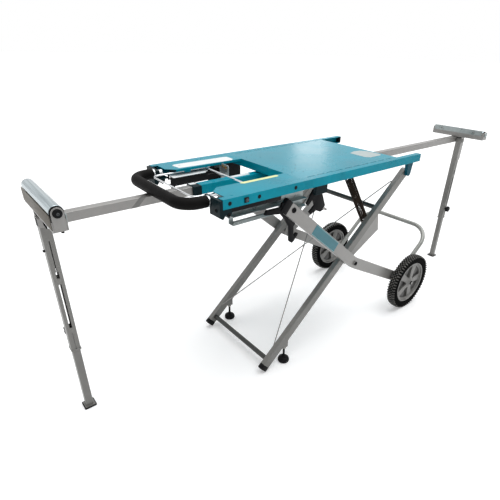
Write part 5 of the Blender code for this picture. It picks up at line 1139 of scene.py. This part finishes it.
along_wheel_leg = Matrix((leg_up, (0.0, 1.0, 0.0), leg_across)).transposed().to_4x4()
for word, side in SIDES:
    face_y = side * (WHEEL_LEG_FACE + BAND_LIFT)
    band = plate([band_strip(-BAND_HALF, BAND_HALF)], FILM, "XZ", (0, face_y, 0))
    fitted(word + "_bare_band", band, BAND_TEAL, "wheel_frame")
    lines = [plate([band_strip(edge - BAND_LINE_HALF, edge + BAND_LINE_HALF)], BAND_LIFT,
                   "XZ", (0, face_y + side * BAND_LIFT, 0))
             for edge in (-BAND_LINE_OUT, BAND_LINE_OUT)]
    fitted(word + "_band_lines", together(*lines), BAND_EDGE, "wheel_frame")
    fasten(word + "_scissor_cap", BUTTON_LARGE, BLACK, "wheel_frame",
           [((SCISSOR.x, side * (WHEEL_LEG_FACE + SCISSOR_CAP_OUT), SCISSOR.z),
             (0, side, 0))])
    fasten(word + "_slider_bolt", BUTTON_LARGE, BLACK, "wheel_frame",
           [((SLIDER_BOLT_X, side * WHEEL_LEG_FACE, SLIDER_BOLT_Z), (0, side, 0))])
    upper_cap = block(UPPER_CAP, (0.0, 0.0, 0.0), 0.0030)
    cap_place = SLIDER + leg_up * UPPER_CAP_AT + Vector((0.0, side * WHEEL_LEG_Y, 0.0))
    upper_cap.transform(Matrix.Translation(cap_place) @ along_wheel_leg)
    fitted(word + "_leg_end_cap", cleaned(upper_cap), BLACK, "wheel_frame")
    fitted(word + "_nylon_roller",
           turned(NYLON_ROLLER, (SLIDER.x, side * ROLLER_Y, SLIDER.z), (0, 1, 0)), BLACK,
           "wheel_frame", word + "_slider_roller")
fitted("slider_bar", turned(SLIDER_BAR, SLIDER, (0, 1, 0)), SILVER, "wheel_frame",
       "slider_cross_tube")

LOOP_PAINT = surface("loop_paint", ((136, 137, 133), (150, 151, 147)), (0.22, 0.32), 0.2,
                     patches=6.0, grain=2000.0, depth=0.00003)
LOOP_RISE = radians(40.4)
LOOP_REACH = 0.334
LOOP_HALF = 0.2172
LOOP_CORNER = 0.105
LOOP_RADIUS = 0.0115
reach = Vector((cos(LOOP_RISE), 0, sin(LOOP_RISE))) * LOOP_REACH
near_root = AXLE - Vector((0, LOOP_HALF, 0))
far_root = AXLE + Vector((0, LOOP_HALF, 0))
loop_line = bent([near_root, near_root + reach, far_root + reach, far_root], LOOP_CORNER, 18)
fitted("loop", tube(loop_line, LOOP_RADIUS, 10), LOOP_PAINT, "wheel_frame", "stand_loop")


# The lock lever: a black two-armed casting in the fork of the near wheel leg. Its long arm
# is pulled by hand, and its lower end is hooked.

LOCK_Y = -0.239
LOCK_THICKNESS = 0.0118
LOCK_OUTLINE = [(-0.5435, 0.7500), (-0.5354, 0.7657), (-0.4660, 0.7640), (-0.4644, 0.7800),
                (-0.4498, 0.7754), (-0.4467, 0.7618), (-0.4617, 0.7393), (-0.4483, 0.7295),
                (-0.3938, 0.6842), (-0.4033, 0.6760), (-0.4010, 0.6390), (-0.3975, 0.6330),
                (-0.3865, 0.6450), (-0.3785, 0.6430), (-0.3805, 0.6335), (-0.3985, 0.6140),
                (-0.4080, 0.6086), (-0.4200, 0.6190), (-0.4263, 0.6799), (-0.4513, 0.7180),
                (-0.4700, 0.7390)]
fitted("lock_arm", plate([LOCK_OUTLINE], LOCK_THICKNESS, "XZ", (0, LOCK_Y, 0), 0.0022),
       BLACK, "lock_lever_body", "lock_lever")


# The wheels: grey moulded rims with five broad spokes before a folded web, and black solid
# tyres with four staggered rows of diamond knobs and a row of lugs on each shoulder. A black
# cap is pressed on the end of each axle.

RIM_GREY = surface("rim_moulding", ((112, 111, 109), (128, 127, 124)), (0.34, 0.46), 0.25,
                   patches=20.0, grain=900.0, depth=0.00004, edge=0.0014,
                   edge_wear_and_highlight=(176, 176, 174))
# The web behind the windows is coloured darker than the rim: painted shade.
RIM_WEB_PAINTED_SHADE = surface("rim_web_painted_shade", ((58, 57, 56), (72, 71, 69)), (0.3, 0.42), 0.3,
                   patches=20.0, grain=900.0, depth=0.00004, edge=0.001)
RUBBER = surface("tyre_rubber", ((4, 4, 4), (9, 9, 9)), (0.62, 0.8), patches=16.0,
                 grain=900.0, depth=0.00008, edge=0.001, lustre=0.3, bending=1.12)
# The tread knobs are coloured light grey against the black wall: painted highlight.
TREAD_PAINTED_HIGHLIGHT = surface("tread_painted_highlight", ((50, 50, 48), (110, 108, 105)), (0.6, 0.8),
                       patches=30.0, grain=900.0, depth=0.00008, edge=0.0012,
                       edge_wear_and_highlight=(170, 170, 166), lustre=0.25)
WHEEL_RADIUS = 0.154
TREAD_DEPTH = 0.0030
TREAD_SUNK = 0.0003
KNOBS_A_ROW = 58
KNOB_LEAN = 0.16
WHEEL_Y = 0.2815
TYRE_HALF = 0.0218
RIM_RADIUS = 0.1125
SPOKES = 5
SPOKE_HALF_AT_TIP = 0.0200
SPOKE_HALF_AT_ROOT = 0.0130
WINDOW_ROOT = 0.0300
WINDOW_MARGIN = 0.0080
WINDOW_DEPTH = 0.06
RIM_LIP = 0.009
RIM_EASE = 0.0009
WEB_ROOT = 0.024
WEB_MARGIN = 0.011
WEB_FOLDS = 10
WEB_FOLD_DEPTH = 0.0042
WEB_STEPS = 60
WEB_WALL = 0.0016
HUB_CAP = [(0.0, 0.0040), (0.0080, 0.0036), (0.0105, 0.0020), (0.0112, 0.0), (0.0, 0.0)]
HUB_CAP_Y = 0.3062


def tread_tree():
    """Knobs in staggered rows round the tyre, each facing out and leaning to its side."""
    tree = bpy.data.node_groups.new("tread", "GeometryNodeTree")
    ids = {}
    for name, kind in (("Wheel", "NodeSocketGeometry"), ("Radius", "NodeSocketFloat"),
                       ("Row Pitch", "NodeSocketFloat"), ("Drop", "NodeSocketFloat"),
                       ("Knobs A Row", "NodeSocketInt"), ("Rows", "NodeSocketInt"),
                       ("Knob", "NodeSocketObject"), ("Finish", "NodeSocketMaterial")):
        ids[name] = tree.interface.new_socket(name, in_out="INPUT",
                                              socket_type=kind).identifier
    tree.interface.new_socket("Tread", in_out="OUTPUT", socket_type="NodeSocketGeometry")
    given = tree.nodes.new("NodeGroupInput").outputs

    def maths(operation, first, second=0.0):
        return add(tree, "ShaderNodeMath", {0: first, 1: second},
                   operation=operation).outputs[0]

    total = maths("MULTIPLY", given["Knobs A Row"], given["Rows"])
    points = add(tree, "GeometryNodePoints", {"Count": total})
    number = add(tree, "GeometryNodeInputIndex").outputs[0]
    row = maths("FLOOR", maths("DIVIDE", number, given["Knobs A Row"]))
    place = maths("MODULO", number, given["Knobs A Row"])
    shift = maths("MULTIPLY", maths("MODULO", row, 2.0), 0.5)
    share = maths("DIVIDE", maths("ADD", place, shift), given["Knobs A Row"])
    turn = maths("MULTIPLY", share, 2 * pi)
    middle = maths("SUBTRACT", row, maths("DIVIDE", maths("SUBTRACT", given["Rows"], 1.0),
                                          2.0))
    side = maths("MULTIPLY", middle, given["Row Pitch"])
    fall = maths("MULTIPLY", maths("POWER", maths("ABSOLUTE", middle), 2.0), given["Drop"])
    radius = maths("SUBTRACT", given["Radius"], fall)
    spot = add(tree, "ShaderNodeCombineXYZ", {
        "X": maths("MULTIPLY", radius, maths("COSINE", turn)), "Y": side,
        "Z": maths("MULTIPLY", radius, maths("SINE", turn))})
    moved = add(tree, "GeometryNodeSetPosition", {"Geometry": points.outputs[0],
                                                  "Position": spot.outputs[0]})
    lean = maths("MULTIPLY", middle, KNOB_LEAN)
    out = add(tree, "ShaderNodeCombineXYZ", {"X": maths("COSINE", turn), "Y": lean,
                                             "Z": maths("SINE", turn)})
    upright = add(tree, "FunctionNodeAlignRotationToVector", {"Vector": out.outputs[0]},
                  axis="Z")
    across = add(tree, "FunctionNodeAlignRotationToVector",
                 {"Rotation": upright.outputs[0], "Vector": (0.0, 1.0, 0.0)},
                 axis="Y", pivot_axis="Z")
    knob = add(tree, "GeometryNodeObjectInfo", {"Object": given["Knob"]})
    laid = add(tree, "GeometryNodeInstanceOnPoints",
               {"Points": moved.outputs[0], "Instance": knob.outputs["Geometry"],
                "Rotation": across.outputs[0]})
    solid = add(tree, "GeometryNodeRealizeInstances", {"Geometry": laid.outputs[0]})
    done = add(tree, "GeometryNodeSetMaterial", {"Geometry": solid.outputs[0],
                                                 "Material": given["Finish"]})
    add(tree, "NodeGroupOutput", {0: done.outputs[0]})
    return tree, ids


TREAD, TREAD_INPUTS = tread_tree()


def tread_block(name, lower, upper, stretch):
    """A four-sided knob, drawn out across the tyre by a stretch."""
    shape = bmesh.new()
    bmesh.ops.create_cone(shape, cap_ends=True, segments=4, radius1=lower, radius2=upper,
                          depth=2 * TREAD_DEPTH)
    bmesh.ops.scale(shape, vec=(1.0, stretch, 1.0), verts=shape.verts)
    return head_pattern(name, as_mesh(shape, name))


TREAD_KNOB = tread_block("tread_knob", lower=0.0064, upper=0.0044, stretch=1.0)
TREAD_LUG = tread_block("tread_lug", lower=0.0052, upper=0.0040, stretch=1.35)


def tread(side, knob, row_pitch, drop, rows):
    """The rows of one kind of knob, round the wheel on this side."""
    draft = bpy.data.objects.new("tread", bpy.data.meshes.new("tread"))
    scene.collection.objects.link(draft)
    setting = draft.modifiers.new("tread", "NODES")
    setting.node_group = TREAD
    for name, value in (("Radius", WHEEL_RADIUS - TREAD_DEPTH - TREAD_SUNK),
                        ("Row Pitch", row_pitch), ("Drop", drop),
                        ("Knobs A Row", KNOBS_A_ROW), ("Rows", rows), ("Knob", knob),
                        ("Finish", TREAD_PAINTED_HIGHLIGHT)):
        setting[TREAD_INPUTS[name]] = value
    mesh = baked(draft)
    mesh.transform(Matrix.Translation((AXLE.x, side * WHEEL_Y, AXLE.z)))
    return mesh


def tyre_profile():
    """The tyre's section, as radius and place across the wheel."""
    bed = RIM_RADIUS + 0.0004
    crown = WHEEL_RADIUS - TREAD_DEPTH
    half = [(bed, 0.0150), (bed + 0.0022, 0.0196), (bed + 0.0060, 0.0212),
            (bed + 0.0110, TYRE_HALF), (bed + 0.0190, TYRE_HALF), (bed + 0.0205, 0.0208),
            (bed + 0.0225, 0.0208), (bed + 0.0240, 0.0216), (crown - 0.0070, 0.0205),
            (crown - 0.0032, 0.0180), (crown - 0.0012, 0.0135), (crown - 0.0002, 0.0070),
            (crown, 0.0)]
    return half + [(radius, -across) for radius, across in reversed(half[:-1])] + half[:1]


def folded_web(inner_r, outer_r):
    """The thin closed web behind the windows, pressed into radial folds."""
    shape = bmesh.new()
    rings = []
    for radius in (inner_r, (inner_r + outer_r) / 2, outer_r):
        depth = WEB_FOLD_DEPTH * (radius - inner_r) / (outer_r - inner_r)
        for face in (-1, 1):
            line = []
            for step in range(WEB_STEPS):
                turn = 2 * pi * step / WEB_STEPS
                fold = abs(((step * WEB_FOLDS / WEB_STEPS) % 2.0) - 1.0) * 2.0 - 1.0
                line.append(shape.verts.new((radius * cos(turn),
                                             depth * fold + face * WEB_WALL / 2,
                                             radius * sin(turn))))
            rings.append(line)
    low, high = rings[0::2], rings[1::2]
    shells = [(low[0], low[1]), (low[1], low[2]), (high[1], high[0]), (high[2], high[1]),
              (high[0], low[0]), (low[2], high[2])]
    for first, second in shells:
        for step in range(WEB_STEPS):
            after = (step + 1) % WEB_STEPS
            shape.faces.new((first[step], first[after], second[after], second[step]))
    bmesh.ops.recalc_face_normals(shape, faces=shape.faces)
    return as_mesh(shape, "folded_web")


def rim_mesh(side):
    """The rim turned in one, then windowed between its spokes."""
    inner = RIM_RADIUS - RIM_LIP
    face = [(0.0078, 0.0230), (0.0140, 0.0230), (0.0165, 0.0218), (0.0210, 0.0175),
            (0.0300, 0.0135), (0.0500, 0.0100), (inner - 0.0100, 0.0085),
            (inner - 0.0030, 0.0088), (inner, 0.0105), (inner + 0.0004, 0.0155),
            (inner + 0.0022, 0.0186), (inner + 0.0048, 0.0192), (RIM_RADIUS, 0.0184)]
    profile = face + [(radius, -across) for radius, across in reversed(face)] + face[:1]
    mesh = turned(profile, (0, 0, 0), (0, 1, 0), 120)
    piece = bpy.data.objects.new("rim_draft", mesh)
    scene.collection.objects.link(piece)
    cutters = []
    outer_r = inner - WINDOW_MARGIN
    spread_out = pi / SPOKES - SPOKE_HALF_AT_TIP / outer_r
    spread_in = pi / SPOKES - SPOKE_HALF_AT_ROOT / WINDOW_ROOT
    for number in range(SPOKES):
        middle = pi * (2 * number + 1) / SPOKES
        shape = arc((0, 0), outer_r, middle - spread_out, middle + spread_out, 16)
        shape += arc((0, 0), WINDOW_ROOT, middle + spread_in, middle - spread_in, 6)
        window = bpy.data.objects.new("window", plate([shape], WINDOW_DEPTH, "XZ", (0, 0, 0)))
        scene.collection.objects.link(window)
        step = piece.modifiers.new("window", "BOOLEAN")
        step.operation = "DIFFERENCE"
        step.solver = "EXACT"
        step.object = window
        cutters.append(window)
    ease = piece.modifiers.new("ease", "BEVEL")
    ease.width = RIM_EASE
    ease.segments = 2
    ease.limit_method = "ANGLE"
    ease.angle_limit = radians(40)
    made = baked(piece)
    for window in cutters:
        bpy.data.objects.remove(window, do_unlink=True)
    made.transform(Matrix.Translation((AXLE.x, side * WHEEL_Y, AXLE.z)))
    return made


for word, side in SIDES:
    centre = (AXLE.x, side * WHEEL_Y, AXLE.z)
    body = word + "_wheel"
    fitted(word + "_tyre_wall", turned(tyre_profile(), centre, (0, 1, 0), 128), RUBBER,
           body, word + "_tyre", crease=50.0)
    knobs = tread(side, TREAD_KNOB, row_pitch=0.0080, drop=0.0006, rows=4)
    lugs = tread(side, TREAD_LUG, row_pitch=0.0350, drop=0.0130, rows=2)
    fitted(word + "_tyre_tread", together(knobs, lugs), TREAD_PAINTED_HIGHLIGHT, body)
    fitted(word + "_spoked_rim", rim_mesh(side), RIM_GREY, body, word + "_rim", crease=32.0)
    web = folded_web(WEB_ROOT, RIM_RADIUS - WEB_MARGIN)
    web.transform(Matrix.Translation(centre))
    fitted(word + "_rim_web", web, RIM_WEB_PAINTED_SHADE, body, crease=20.0)
    hub_cap = turned(HUB_CAP, (AXLE.x, side * HUB_CAP_Y, AXLE.z), (0, side, 0), 36)
    fitted(word + "_axle_cap", hub_cap, BLACK, "wheel_frame")


for pattern in (HEX_SMALL, BUTTON, BUTTON_SMALL, BUTTON_LARGE, RIVET, TREAD_KNOB,
                TREAD_LUG):
    bpy.data.objects.remove(pattern, do_unlink=True)
